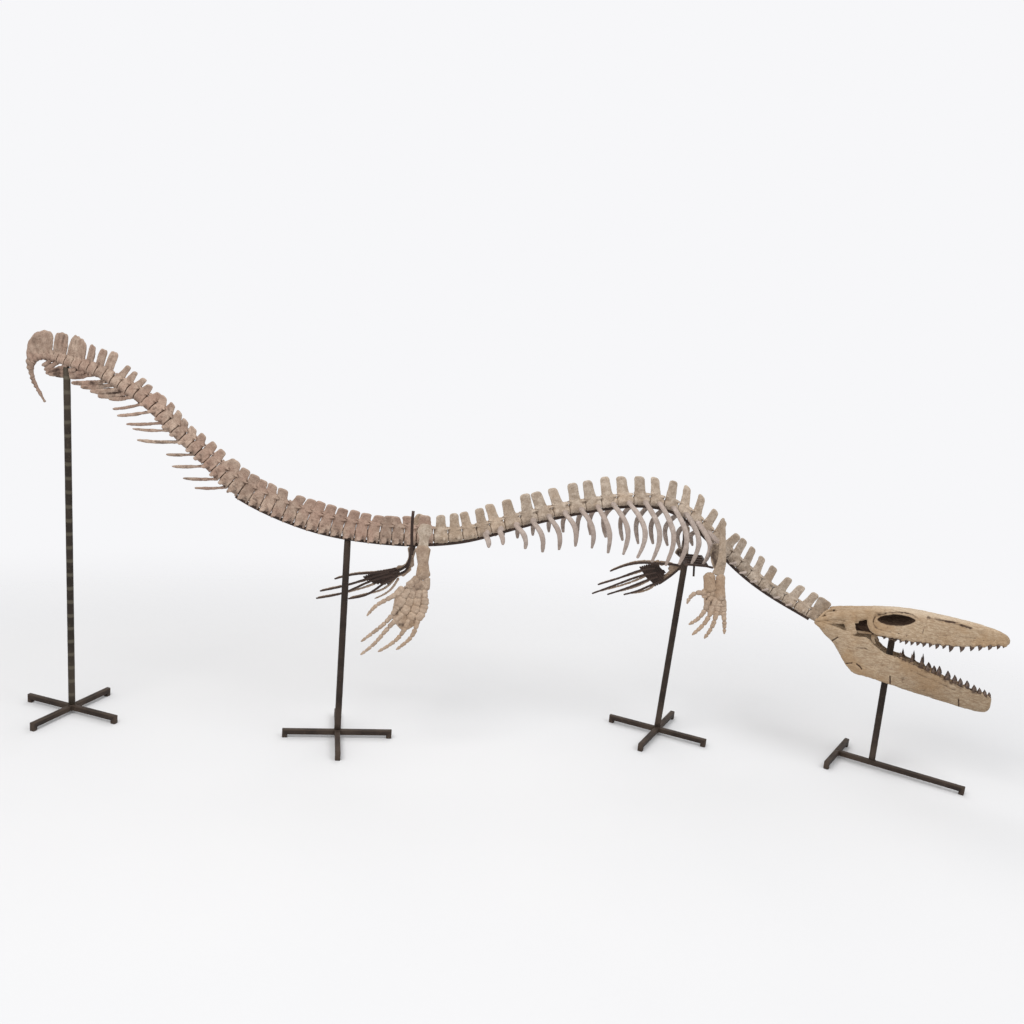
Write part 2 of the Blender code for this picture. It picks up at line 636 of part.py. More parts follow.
limb_object("fore_paddle_left", FORE_L,
            [([(6, 20), (34, 32), (66, 48)], [0.022, 0.018, 0.028], 0.5),
             ([(52, 20), (88, 14), (128, 22)], [0.016, 0.010, 0.017], 0.5),
             ([(54, 58), (82, 84), (108, 108)], [0.016, 0.010, 0.017], 0.5)],
            ([(140, 18), (140, 66), (118, 118)], [0.022, 0.036, 0.024]),
            [[(146, 16), (229, 26), (312, 60), (388, 107)], [(152, 44), (225, 85), (451, 200)],
             [(150, 68), (196, 106), (480, 260)], [(140, 92), (172, 125), (394, 250)],
             [(124, 116), (151, 160), (303, 234)]], r0=0.0075, r1=0.0045, backed=True, joints=1)


def plate(name, mat, points, widths, thick, normal, sides=6):
    """Flat tapering bone along a path."""
    bm = bmesh.new()
    rings = []
    for (p, a, b), w in zip(ring_frames(points, np.array(normal, float)), widths):
        k = 0.5 * thick
        rings.append([p + a * k * x + b * 0.5 * w * y for x, y in
                      ((1, -0.7), (1, 0.7), (0, 1), (-1, 0.7), (-1, -0.7), (0, -1))])
    loft(bm, rings)
    return new_object(name, bm, mat)


def hip_plate(name, limb, side, low):
    top = place(2.318, -0.010, side * 0.098, 0.090)
    pts = [top, 0.72 * top + 0.28 * low, 0.35 * top + 0.65 * low, low + (top - low) * 0.02]
    return plate(name, BONE, pts, [0.052, 0.078, 0.044, 0.050], 0.014, limb.n)


hip_plate("pelvis_right", HIND_R, -1, HIND_R.root)
hip_plate("pelvis_left", HIND_L, 1, HIND_L.at(0, -10, 0.010))


def shoulder_plate(name, limb, blade_line, coracoid_line):
    """Shoulder blade standing over the joint, with the coracoid beside it."""
    parts = []
    for k, line in enumerate((blade_line, coracoid_line)):
        pts = [limb.at(a, b, off) for a, b, off, w in line]
        parts.append(plate(name if k == 0 else "plate", BONE, pts, [w for a, b, off, w in line], 0.013 - 0.002 * k, limb.n))
    return fuse(parts[0], parts[1:])


shoulder_plate("shoulder_right", FORE_R,
               [(-46, -288, 0, 0.032), (-40, -225, 0, 0.048), (-34, -145, 0, 0.064), (-32, -70, 0, 0.066), (-38, -1, 0, 0.050)],
               [(-16, -62, 0.002, 0.040), (0, -92, 0.005, 0.056), (6, -128, 0.008, 0.050)])
shoulder_plate("shoulder_left", FORE_L,
               [(2, -190, 0.060, 0.040), (4, -130, 0.048, 0.060), (4, -70, 0.026, 0.062), (0, -10, 0.004, 0.046)],
               [(6, -40, 0.012, 0.040), (24, -56, 0.018, 0.056), (44, -70, 0.022, 0.060)])


# ------------------------------------------------------------------ stands
def spine_bar(name, s0, s1, step=2):
    """Square bar that follows the underside of the backbone."""
    mids = [0.5 * (v[2] + v[3]) for v in VERTS]
    stops = [s0] + [m for m in mids[::step] if s0 + 0.02 < m < s1 - 0.02] + [s1]
    bm = bmesh.new()
    rings = []
    for s in stops:
        top = -table(CENTRUM_R, s) - BAR_GAP
        rings.append([place(s, 0, x * BAR_W / 2, top - z * BAR_H) for x, z in ((-1, 1), (1, 1), (1, 0), (-1, 0))])
    loft(bm, rings)
    return new_object(name, bm, STEEL)


BAR_GAP = 0.0045
spine_bar("stand_bar_tail", 1.400, 2.3575)
spine_bar("stand_bar_trunk", 2.3585, 3.8645, 1)
spine_bar("stand_bar_neck", 3.8655, 4.560, 1)


def nearest_s(x, lo=0.3):
    s = np.linspace(lo, S[-1], 4000)
    px = np.interp(s, S, P[:, 0])
    return float(s[np.argmin(np.abs(px - x))])


def cross_base(name, x, y, turn, arms):
    """Floor cross of square tube with a foot under each arm's end.

    arms lists (direction in degrees, length) from the centre."""
    w, zb, zt = ARM_W / 2, ARM_Z - ARM_W / 2, ARM_Z + ARM_W / 2
    parts = []
    for k, (ang, length, start) in enumerate(arms):
        a = math.radians(turn + ang)
        d, n = np.array([math.cos(a), math.sin(a), 0]), np.array([-math.sin(a), math.cos(a), 0])
        c = np.array([x, y, 0.0])
        bm = bmesh.new()
        e = 0.0 if k == 0 else 0.0002
        rings = [[c + d * q + n * p * (w - e) + np.array([0, 0, z]) for p, z in ((-1, zb + e), (1, zb + e), (1, zt - e), (-1, zt - e))]
                 for q in (start, start + ARM_W if start < -0.1 else start + 0.002, length - ARM_W, length)]
        rows = loft(bm, rings)
        ends = [rows[-1][0]] + ([rows[0][0]] if start < -0.1 else [])
        for f in ends:
            grow(bm, f, [[np.array(v.co) + np.array([X0, Y0, 0.0 - v.co[2]]) for v in f.verts]])
        parts.append(new_object(name if k == 0 else "arm", bm, STEEL))
    return fuse(parts[0], parts[1:])


def rod_object(name, foot, top, normal, lift=0.0):
    """Upright rod from the base to the sloping underside of what it carries."""
    foot, top = np.array(foot, float), np.array(top, float)
    bm = bmesh.new()
    axis = (top - foot) / np.linalg.norm(top - foot)
    low, high = [], []
    for k in range(10):
        w = 2 * math.pi * k / 10
        off = np.array([math.cos(w) * ROD_R, math.sin(w) * ROD_R, 0.0])
        low.append(foot + off)
        q = top + off
        q = q + axis * (-(off @ normal) / (axis @ normal))
        high.append(q)
    loft(bm, [low, high])
    return new_object(name, bm, STEEL)


TOP_OF_ARM = ARM_Z + ARM_W / 2 + GAP
CHEST_XY, CHEST_Z = (0.914, 5.476), 0.972      # where the chest rod carries its frame
for key, (x, y, turn, top_x) in STANDS.items():
    cross_base("stand_%s_base" % key, x, y, turn, [(0, ARM_R, -ARM_R), (90, ARM_R, -ARM_R)])
    if key == "chest":
        rod_object("stand_chest_rod", (x, y, TOP_OF_ARM), (CHEST_XY[0], CHEST_XY[1], CHEST_Z - 0.0065), np.array([0, 0, 1.0]))
        continue
    s = nearest_s(top_x)
    c, t, l, u = frame(s)
    drop = table(CENTRUM_R, s) + (BAR_GAP + BAR_H if s > 1.2 else 0.0) + 0.0012
    rod_object("stand_%s_rod" % key, (x, y, TOP_OF_ARM), c - u * drop, u)

hd = math.radians(HEAD_STAND_TURN)
jx, jy = HX - HEAD_ROD_BACK * math.cos(hd), HY - HEAD_ROD_BACK * math.sin(hd)
cross_base("stand_head_base", jx, jy, HEAD_STAND_TURN, [(90, HEAD_CROSS, -HEAD_CROSS), (0, HEAD_BAR, -0.004)])
palate = 0.697 + 0.16 * (0.868 - 0.697)
rod_object("stand_head_rod", (HX, HY, TOP_OF_ARM), (HX, HY, palate - 0.0045), np.array([-0.09 * HC, -0.09 * HS, 1.0]) / 1.004)


# steel frames: each backs a left paddle and reaches up to the spine bar
def strip(points, wide, thick, ref):
    """Flat bar along a path; its width runs along ref."""
    return tube_object("strip", STEEL, [np.array(p, float) for p in points], [0.7072 * thick] * len(points), 4,
                       ref=ref, flat=wide / thick)


def paddle_frame(limb, rails, palm, digits, off=-0.0048):
    """Rails, palm plate and finger bars behind the bones of a paddle."""
    parts = []
    for k, pts in enumerate(rails):
        parts.append(tube_object("rail", STEEL, smooth_path([limb.at(a, b, off + 0.0001 * k) for a, b in pts], 4),
                                 [0.0056] * 4, 4, ref=limb.n, flat=0.8))
    for k, d in enumerate(digits):
        parts.append(tube_object("rail", STEEL, smooth_path([limb.at(a, b, off + 0.0001 * (k - 2)) for a, b in d], 3),
                                 [0.0056, 0.0052, 0.0038], 4, ref=limb.n, flat=0.8))
    bm = bmesh.new()
    loft(bm, [[limb.at(a, b, off + z) for a, b in palm] for z in (-0.0021, 0.0019)])
    parts.append(new_object("palm", bm, STEEL))
    return parts


def hind_frame():
    under = 0.992                            # axis of the cross bar under the spine bar
    parts = [strip([(-0.464, 5.024, 1.200), (-0.456, 5.024, under - 0.006)], 0.014, 0.005, (1, 0, 0)),
             strip([(-0.4565, 5.0225, under), (-0.4625, 5.238, under)], 0.012, 0.012, (0, 0, 1)),
             strip([(-0.462, 5.231, under + 0.001), HIND_L.at(-2, -2, -0.012), HIND_L.at(2, 14, -0.0052)], 0.012, 0.008, (1, 0, 0))]
    parts += paddle_frame(HIND_L, [[(1, 4), (6, 60), (30, 106), (96, 152)], [(8, 70), (22, 118), (100, 172)]],
                          [(80, 126), (180, 158), (262, 206), (206, 232), (128, 222), (74, 168)],
                          [[(170, 163), (302, 196), (419, 243)], [(240, 212), (360, 272), (506, 330)],
                           [(220, 222), (360, 310), (530, 378)], [(140, 216), (248, 307), (348, 348)]])
    parts[0].name = parts[0].data.name = "stand_hind_frame"
    return fuse(parts[0], parts[1:])


def chest_frame():
    z = CHEST_Z
    parts = [strip([(0.902, 5.352, z), (0.902, 5.578, z)], 0.016, 0.0120, (1, 0, 0)),
             strip([(1.010, 5.372, z + 0.0001), (1.010, 5.574, z + 0.0001)], 0.012, 0.0116, (1, 0, 0))]
    for k in range(3):
        y = 5.374 + 0.099 * k
        parts.append(strip([(0.8965, y, z + 0.0002), (1.0145, y, z + 0.0002)], 0.016, 0.0112, (0, 1, 0)))
    # stub below, links to both shoulders, strap up to the spine bar
    parts.append(strip([(0.960, 5.4730, z - 0.001), (0.966, 5.4730, z - 0.085)], 0.010, 0.010, (0, 1, 0)))
    parts.append(strip([(0.998, 5.374, z), FORE_R.at(-20, -32, 0.0125)], 0.010, 0.008, (0, 0, 1)))
    parts.append(strip([(0.904, 5.572, z), FORE_L.at(6, -18, -0.017), FORE_L.at(8, 12, -0.0050)], 0.010, 0.008, (1, 0, 0)))
    s = nearest_s(0.905)
    c, t, l, u = frame(s)
    top = c - u * (table(CENTRUM_R, s) + BAR_GAP + BAR_H + 0.0016)
    parts.append(strip([(0.903, top[1], z + 0.002), (top[0], top[1], top[2] - 0.006)], 0.010, 0.018, (1, 0, 0)))
    parts += paddle_frame(FORE_L, [[(6, 10), (49, 9), (100, 14), (160, 22)], [(6, 12), (54, 71), (114, 132)]],
                          [(92, 60), (146, 14), (232, 58), (190, 108), (140, 150), (108, 128)],
                          [[(140, 20), (229, 31), (388, 107)], [(205, 66), (320, 130), (451, 200)],
                           [(190, 92), (330, 170), (480, 260)], [(160, 112), (270, 180), (394, 250)],
                           [(128, 130), (220, 192), (303, 234)]])
    parts[0].name = parts[0].data.name = "stand_chest_frame"
    return fuse(parts[0], parts[1:])


hind_frame()
chest_frame()
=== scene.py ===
# Mounted mosasaur skeleton: the looks. Metres, +Z up, +X towards the head.
# Every bone is modelled on the backbone curve and on the limb planes of the
# CAD model, then skinned with fine voxels, worn with noise and painted by
# procedural materials.
import bpy
import math
import numpy as np
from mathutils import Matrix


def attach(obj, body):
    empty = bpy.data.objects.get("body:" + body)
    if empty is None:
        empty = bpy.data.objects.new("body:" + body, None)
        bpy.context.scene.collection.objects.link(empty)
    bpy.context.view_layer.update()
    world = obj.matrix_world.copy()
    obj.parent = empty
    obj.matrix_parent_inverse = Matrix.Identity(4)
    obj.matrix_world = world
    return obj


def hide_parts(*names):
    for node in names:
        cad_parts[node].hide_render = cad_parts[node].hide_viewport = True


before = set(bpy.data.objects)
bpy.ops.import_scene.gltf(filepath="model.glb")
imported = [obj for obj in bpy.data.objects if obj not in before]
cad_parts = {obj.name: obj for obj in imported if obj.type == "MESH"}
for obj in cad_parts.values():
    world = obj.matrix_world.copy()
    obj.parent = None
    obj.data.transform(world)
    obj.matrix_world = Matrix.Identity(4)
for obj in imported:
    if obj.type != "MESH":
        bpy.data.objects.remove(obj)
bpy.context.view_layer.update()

X0, Y0 = 0.0492, 5.3093
OFF = np.array([X0, Y0, 0.0])

# ------------------------------------------------------------------ layout
PLAN = [(-2.40, 5.135), (-2.107, 5.098), (-1.45, 5.035), (-0.772, 5.081),
        (-0.40, 5.140), (0.0, 5.243), (0.30, 5.348), (0.60, 5.440),
        (0.884, 5.479), (1.20, 5.488), (1.45, 5.467), (1.64, 5.425)]
SIDE = [(-2.247, 1.548), (-2.304, 1.652), (-2.314, 1.702), (-2.290, 1.748),
        (-2.221, 1.763), (-2.137, 1.748), (-1.998, 1.719), (-1.865, 1.663),
        (-1.742, 1.600), (-1.619, 1.494), (-1.492, 1.388), (-1.346, 1.261),
        (-1.145, 1.156), (-0.908, 1.082), (-0.647, 1.049), (-0.409, 1.046),
        (-0.219, 1.068), (-0.052, 1.116), (0.238, 1.197), (0.479, 1.245),
        (0.643, 1.264), (0.764, 1.256), (0.855, 1.228), (0.928, 1.186),
        (1.085, 1.056), (1.246, 0.926), (1.407, 0.831), (1.562, 0.760),
        (1.642, 0.724)]
REGIONS = [("tip", 0.000, 0.200, 6, 0.75), ("fan", 0.200, 0.340, 6, 1.00),
           ("end", 0.340, 0.750, 10, 0.85), ("mid", 0.750, 1.350, 12, 0.90),
           ("base", 1.350, 2.273, 16, 0.95), ("sacral", 2.273, 2.358, 1, 1.0),
           ("trunk", 2.358, 2.714, 5, 1.0), ("trunk", 2.714, 3.489, 9, 1.0),
           ("trunk", 3.489, 3.865, 5, 1.0), ("neck", 3.865, 4.596, 10, 1.0)]
CENTRUM_R = [(0.0, 0.0058), (0.1, 0.0082), (0.2, 0.014), (0.3, 0.020), (0.5, 0.025),
             (0.9, 0.028), (1.5, 0.030), (2.2, 0.030), (2.45, 0.026), (3.2, 0.024),
             (4.0, 0.023), (4.6, 0.021)]
ARCH = [(0.0, 1.35), (0.8, 1.35), (1.4, 1.95), (2.3, 1.95), (2.5, 1.55), (4.6, 1.45)]
SPINE_H = [(0.0, 0.010), (0.10, 0.020), (0.17, 0.038), (0.22, 0.070), (0.29, 0.106),
           (0.40, 0.122), (0.50, 0.108), (0.60, 0.108), (0.70, 0.092), (0.80, 0.070),
           (0.90, 0.085), (1.05, 0.070), (1.20, 0.092), (1.30, 0.106), (1.50, 0.102),
           (1.75, 0.110), (1.95, 0.108), (2.07, 0.096), (2.31, 0.112), (2.60, 0.119),
           (2.75, 0.127), (3.00, 0.127), (3.25, 0.137), (3.42, 0.122), (3.60, 0.126),
           (3.75, 0.120), (3.88, 0.106), (4.15, 0.117), (4.35, 0.106), (4.60, 0.110)]
LEAN = [(0.0, 0.010), (0.20, 0.002), (0.34, 0.003), (0.75, 0.006), (0.80, 0.018), (1.30, 0.016),
        (1.40, 0.008), (2.20, 0.006), (2.32, 0.0), (2.60, 0.007), (3.20, 0.009), (3.42, 0.018),
        (3.62, 0.034), (3.78, 0.040), (3.90, 0.036), (4.02, 0.018), (4.20, 0.002), (4.60, -0.004)]
PROCESS = [(0.80, 0.032), (1.20, 0.050), (1.60, 0.066), (2.10, 0.075), (2.28, 0.060)]
RIB_DROP = [0.0, 0.0, 0.0, 0.050, 0.055, 0.089, 0.121, 0.129, 0.131, 0.153,
            0.186, 0.206, 0.231, 0.253, 0.265, 0.244, 0.215, 0.180, 0.105]
RIB_WIDE = 0.62
RIB_LIMIT = [(3.50, 0.125), (3.60, 0.118), (3.70, 0.095), (3.80, 0.078), (3.90, 0.070)]
CHEVRONS = []
BLADE = {"tip": (0.7, 0.5), "fan": (0.98, 1.02), "end": (0.74, 0.60), "mid": (0.88, 0.66),
         "base": (0.94, 0.76), "sacral": (0.8, 0.62), "trunk": (0.75, 0.59), "neck": (0.69, 0.56)}
# measured tops of the neural spines (distance from the tail tip)
TOPS = [0.494, 0.546, 0.584, 0.664, 0.704, 0.755, 0.785, 0.842, 0.899, 0.993, 1.042, 1.105,
        1.166, 1.216, 1.293, 1.370, 1.476, 1.519, 1.582, 1.693, 1.746, 1.786, 1.843, 1.904,
        1.966, 2.023, 2.087, 2.133, 2.163, 2.208, 2.313, 2.396, 2.466, 2.523, 2.606, 2.661,
        2.746, 2.843, 2.896, 2.981, 3.085, 3.163, 3.256, 3.339, 3.425, 3.490, 3.570, 3.623,
        3.698, 3.796, 3.859, 3.968, 4.011, 4.081, 4.158, 4.243, 4.348, 4.427, 4.507, 4.574]
BAR_W, BAR_H, BAR_GAP = 0.014, 0.010, 0.0045
ROD_R = 0.0162
ARM_W, ARM_Z, ARM_R = 0.026, 0.0286, 0.270
STANDS = {"tail": (-2.109, 5.098, -19.0, -2.134), "hip": (-0.772, 5.081, 10.5, -0.769),
          "chest": (0.874, 5.476, -25.0, 0.914)}
HEAD_XY, HEAD_YAW, HEAD_ROLL, ROLL_Z = (1.968, 5.289), -24.0, 10.0, 0.68
HEAD_STAND_TURN = -31.0
HEAD_BAR, HEAD_CROSS, HEAD_ROD_BACK = 0.639, 0.194, 0.180
CHEST_XY, CHEST_Z = (0.914, 5.476), 0.972


# ------------------------------------------------------------------ curve
def spline(t, y):
    n = len(t)
    a = np.zeros((n, n))
    b = np.zeros(n)
    a[0, 0] = a[-1, -1] = 1.0
    for i in range(1, n - 1):
        h0, h1 = t[i] - t[i - 1], t[i + 1] - t[i]
        a[i, i - 1], a[i, i], a[i, i + 1] = h0, 2 * (h0 + h1), h1
        b[i] = 6 * ((y[i + 1] - y[i]) / h1 - (y[i] - y[i - 1]) / h0)
    return np.linalg.solve(a, b)


def spline_at(t, y, m, x):
    i = np.clip(np.searchsorted(t, x) - 1, 0, len(t) - 2)
    h = t[i + 1] - t[i]
    p, q = (t[i + 1] - x) / h, (x - t[i]) / h
    val = p * y[i] + q * y[i + 1] + ((p ** 3 - p) * m[i] + (q ** 3 - q) * m[i + 1]) * h * h / 6
    der = (y[i + 1] - y[i]) / h + ((3 * q * q - 1) * m[i + 1] - (3 * p * p - 1) * m[i]) * h / 6
    return val, der


def make_backbone():
    plan, side = np.array(PLAN), np.array(SIDE)
    mp = spline(plan[:, 0], plan[:, 1])
    t = np.concatenate([[0], np.cumsum(np.linalg.norm(np.diff(side, axis=0), axis=1))])
    mx, mz = spline(t, side[:, 0]), spline(t, side[:, 1])
    tt = np.linspace(0, t[-1], 4000)
    x = spline_at(t, side[:, 0], mx, tt)[0]
    z = spline_at(t, side[:, 1], mz, tt)[0]
    y, dy = spline_at(plan[:, 0], plan[:, 1], mp, x)
    p = np.stack([x, y, z], 1)
    s = np.concatenate([[0], np.cumsum(np.linalg.norm(np.diff(p, axis=0), axis=1))])
    tan = np.gradient(p, s, axis=0)
    left = np.stack([-dy, np.ones_like(dy), 0 * dy], 1)
    left /= np.linalg.norm(left, axis=1)[:, None]
    tan -= left * np.sum(tan * left, axis=1)[:, None]
    tan /= np.linalg.norm(tan, axis=1)[:, None]
    return s, p - OFF, tan, left, np.cross(tan, left)


S, P, TAN, LEFT, UP = make_backbone()


def frame(s):
    out = []
    for a in (P, TAN, LEFT, UP):
        out.append(np.array([np.interp(s, S, a[:, k]) for k in range(3)]))
    for k in (1, 2, 3):
        out[k] /= np.linalg.norm(out[k])
    return out


def table(knots, s):
    k = np.array(knots)
    return float(np.interp(s, k[:, 0], k[:, 1]))


def place(s, along, left, up):
    c, t, l, u = frame(s)
    return c + t * along + l * left + u * up


def vertebrae():
    out, count = [], {}
    for name, s0, s1, n, ratio in REGIONS:
        w = np.linspace(ratio, 1.0, n) if n > 1 else np.ones(1)
        edge = s0 + (s1 - s0) * np.concatenate([[0], np.cumsum(w)]) / w.sum()
        first = count.get(name, 0)
        out += [(name, first + i, edge[i], edge[i + 1]) for i in range(n)]
        count[name] = first + n
    return out


VERTS = vertebrae()


def match_tops():
    """Pair each vertebra, in order, with the measured top of its spine."""
    verts = [(k, 0.5 * (v[2] + v[3])) for k, v in enumerate(VERTS) if 0.5 * (v[2] + v[3]) > 0.61]
    tops = [x for x in TOPS if x > 0.61]
    n, m = len(verts), len(tops)
    cost = np.full((n + 1, m + 1), 1e9)
    step = np.zeros((n + 1, m + 1), int)
    cost[0, 0] = 0
    for i in range(n + 1):
        for j in range(m + 1):
            if i and cost[i - 1, j] + 0.075 < cost[i, j]:
                cost[i, j], step[i, j] = cost[i - 1, j] + 0.075, 1
            if j and cost[i, j - 1] + 0.055 < cost[i, j]:
                cost[i, j], step[i, j] = cost[i, j - 1] + 0.055, 2
            if i and j:
                d = abs(verts[i - 1][1] - tops[j - 1])
                if d < 0.064 and cost[i - 1, j - 1] + d < cost[i, j]:
                    cost[i, j], step[i, j] = cost[i - 1, j - 1] + d, 3
    out = {}
    i, j = n, m
    while i or j:
        if step[i, j] == 3:
            i, j = i - 1, j - 1
            out[verts[i][0]] = tops[j]
        elif step[i, j] == 1:
            i -= 1
        else:
            j -= 1
    return out


MATCH = match_tops()


def smooth_path(points, count):
    pts = np.array(points, float)
    t = np.concatenate([[0], np.cumsum(np.linalg.norm(np.diff(pts, axis=0), axis=1))])
    tt = np.linspace(0, t[-1], count)
    if len(pts) == 2:
        return np.array([pts[0] + (pts[1] - pts[0]) * x / t[-1] for x in tt])
    return np.stack([spline_at(t, pts[:, k], spline(t, pts[:, k]), tt)[0] for k in range(pts.shape[1])], 1)


def resample(pts, count):
    """The same line with evenly spaced points."""
    pts = np.array(pts, float)
    t = np.concatenate([[0], np.cumsum(np.linalg.norm(np.diff(pts, axis=0), axis=1))])
    tt = np.linspace(0, t[-1], count)
    return np.stack([np.interp(tt, t, pts[:, k]) for k in range(3)], 1)


# ------------------------------------------------------------------ shapes
def hashed(n, seed=0):
    """A steady pseudo-random number from -1 to 1."""
    x = math.sin(n * 12.9898 + seed * 78.233) * 43758.5453
    return 2 * (x - math.floor(x)) - 1


def noise(p, seed=0):
    """Smooth value noise from -1 to 1 at many points."""
    i = np.floor(p).astype(np.int64)
    f = p - i
    u = f * f * f * (f * (f * 6 - 15) + 10)

    def corner(dx, dy, dz):
        n = (i[:, 0] + dx) * 73856093 ^ (i[:, 1] + dy) * 19349663 ^ (i[:, 2] + dz) * 83492791 ^ (seed * 40503 + 977)
        n = ((n ^ (n >> 13)) * 1274126177) & 0xffffffff
        n = ((n ^ (n >> 15)) * 2246822519) & 0xffffffff
        return ((n >> 8) & 0xffff) / 32767.5 - 1.0

    def mix(a, b, t):
        return a + (b - a) * t

    x0 = mix(mix(corner(0, 0, 0), corner(1, 0, 0), u[:, 0]), mix(corner(0, 1, 0), corner(1, 1, 0), u[:, 0]), u[:, 1])
    x1 = mix(mix(corner(0, 0, 1), corner(1, 0, 1), u[:, 0]), mix(corner(0, 1, 1), corner(1, 1, 1), u[:, 0]), u[:, 1])
    return mix(x0, x1, u[:, 2])


class Shape:
    """Closed shells, kept as points, quads and triangles."""

    def __init__(self):
        self.v, self.q, self.t, self.n = [], [], [], 0

    def loft(self, rings):
        rings = [np.asarray(r, float) for r in rings]
        m, k = len(rings[0]), len(rings)
        v = np.concatenate(rings + [rings[0].mean(0)[None], rings[-1].mean(0)[None]])
        i = np.arange(m)
        j = (i + 1) % m
        q = np.concatenate([np.stack([a * m + i, a * m + j, (a + 1) * m + j, (a + 1) * m + i], 1) for a in range(k - 1)])
        t = np.concatenate([np.stack([j, i, np.full(m, k * m)], 1),
                            np.stack([(k - 1) * m + i, (k - 1) * m + j, np.full(m, k * m + 1)], 1)])
        x = v - v.mean(0)
        tri = np.concatenate([q[:, [0, 1, 2]], q[:, [0, 2, 3]], t])
        if np.sum(x[tri[:, 0]] * np.cross(x[tri[:, 1]], x[tri[:, 2]])) < 0:
            q, t = q[:, ::-1], t[:, ::-1]
        self.v.append(v)
        self.q.append(q + self.n)
        self.t.append(t + self.n)
        self.n += len(v)

    def tube(self, pts, ra, rb, ref, sides=14, power=2.0, caps=True):
        """Tube of half size ra along ref and rb across it, with round ends."""
        pts = np.array(pts, float)
        n = len(pts)
        ra = np.full(n, ra, float) if np.isscalar(ra) else np.array(ra, float)
        rb = np.full(n, rb, float) if np.isscalar(rb) else np.array(rb, float)
        tan = np.gradient(pts, axis=0)
        tan /= np.linalg.norm(tan, axis=1)[:, None]
        w = 2 * math.pi * (np.arange(sides) + 0.5) / sides
        ca = np.sign(np.cos(w)) * np.abs(np.cos(w)) ** (2 / power)
        sa = np.sign(np.sin(w)) * np.abs(np.sin(w)) ** (2 / power)
        ref = np.array(ref, float)
        rings = []

        def ring(p, t, x, y):
            a = ref - t * (ref @ t)
            a /= np.linalg.norm(a)
            b = np.cross(t, a)
            return p + np.outer(ca * x, a) + np.outer(sa * y, b)

        r0, r1 = min(ra[0], rb[0]), min(ra[-1], rb[-1])
        if caps:
            for o, c in ((0.95, 0.30), (0.62, 0.78)):
                rings.append(ring(pts[0] - tan[0] * r0 * o, tan[0], ra[0] * c, rb[0] * c))
        for i in range(n):
            rings.append(ring(pts[i], tan[i], ra[i], rb[i]))
        if caps:
            for o, c in ((0.62, 0.78), (0.95, 0.30)):
                rings.append(ring(pts[-1] + tan[-1] * r1 * o, tan[-1], ra[-1] * c, rb[-1] * c))
        self.loft(rings)

    def blob(self, centre, ax, ay, az, sides=16, rows=9, power=2.0):
        """Ellipsoid with the three given half axes (as vectors)."""
        centre, ax, ay, az = (np.array(a, float) for a in (centre, ax, ay, az))
        w = 2 * math.pi * np.arange(sides) / sides
        ca = np.sign(np.cos(w)) * np.abs(np.cos(w)) ** (2 / power)
        sa = np.sign(np.sin(w)) * np.abs(np.sin(w)) ** (2 / power)
        rings = []
        for k in range(rows):
            f = math.pi * (k + 0.5) / rows
            rings.append(centre - az * math.cos(f) + np.outer(ca * math.sin(f), ax) + np.outer(sa * math.sin(f), ay))
        self.loft(rings)

    def arrays(self):
        return np.concatenate(self.v), np.concatenate(self.q), np.concatenate(self.t)


def plain_mesh(name, v, q, t):
    me = bpy.data.meshes.new(name)
    q, t = np.asarray(q, np.int32).reshape(-1, 4), np.asarray(t, np.int32).reshape(-1, 3)
    me.vertices.add(len(v))
    me.vertices.foreach_set("co", np.asarray(v, np.float32).ravel())
    loops = np.concatenate([q.ravel(), t.ravel()]).astype(np.int32)
    me.loops.add(len(loops))
    me.loops.foreach_set("vertex_index", loops)
    start = np.concatenate([np.arange(len(q)) * 4, len(q) * 4 + np.arange(len(t)) * 3]).astype(np.int32)
    me.polygons.add(len(start))
    me.polygons.foreach_set("loop_start", start)
    me.update(calc_edges=True)
    return me


def evaluated(ob):
    """Points, quads and triangles of an object with its modifiers."""
    deps = bpy.context.evaluated_depsgraph_get()
    ev = ob.evaluated_get(deps)
    me = ev.to_mesh()
    v = np.empty(len(me.vertices) * 3, np.float32)
    me.vertices.foreach_get("co", v)
    start = np.empty(len(me.polygons), np.int32)
    total = np.empty(len(me.polygons), np.int32)
    loops = np.empty(len(me.loops), np.int32)
    me.polygons.foreach_get("loop_start", start)
    me.polygons.foreach_get("loop_total", total)
    me.loops.foreach_get("vertex_index", loops)
    q = loops[start[total == 4][:, None] + np.arange(4)]
    t = loops[start[total == 3][:, None] + np.arange(3)]
    ev.to_mesh_clear()
    return v.reshape(-1, 3).astype(float), q, t


def drop(ob):
    me = ob.data
    bpy.data.objects.remove(ob, do_unlink=True)
    bpy.data.meshes.remove(me)


def temp_object(v, q, t):
    ob = bpy.data.objects.new("temp", plain_mesh("temp", v, q, t))
    bpy.context.scene.collection.objects.link(ob)
    return ob


def skinned(v, q, t, voxel):
    ob = temp_object(v, q, t)
    mod = ob.modifiers.new("skin", "REMESH")
    mod.mode = "VOXEL"
    mod.voxel_size = voxel
    mod.adaptivity = 0.0
    out = evaluated(ob)
    drop(ob)
    return out


def links(q, t, n):
    a = np.concatenate([q.ravel(), t.ravel()])
    b = np.concatenate([np.roll(q, -1, 1).ravel(), np.roll(t, -1, 1).ravel()])
    ia, ib = np.concatenate([a, b]), np.concatenate([b, a])
    return ia, ib, np.maximum(np.bincount(ia, minlength=n), 1)


def average(x, link):
    ia, ib, deg = link
    if x.ndim == 1:
        return np.bincount(ia, weights=x[ib], minlength=len(x)) / deg
    return np.stack([np.bincount(ia, weights=x[ib, k], minlength=len(x)) for k in range(3)], 1) / deg[:, None]


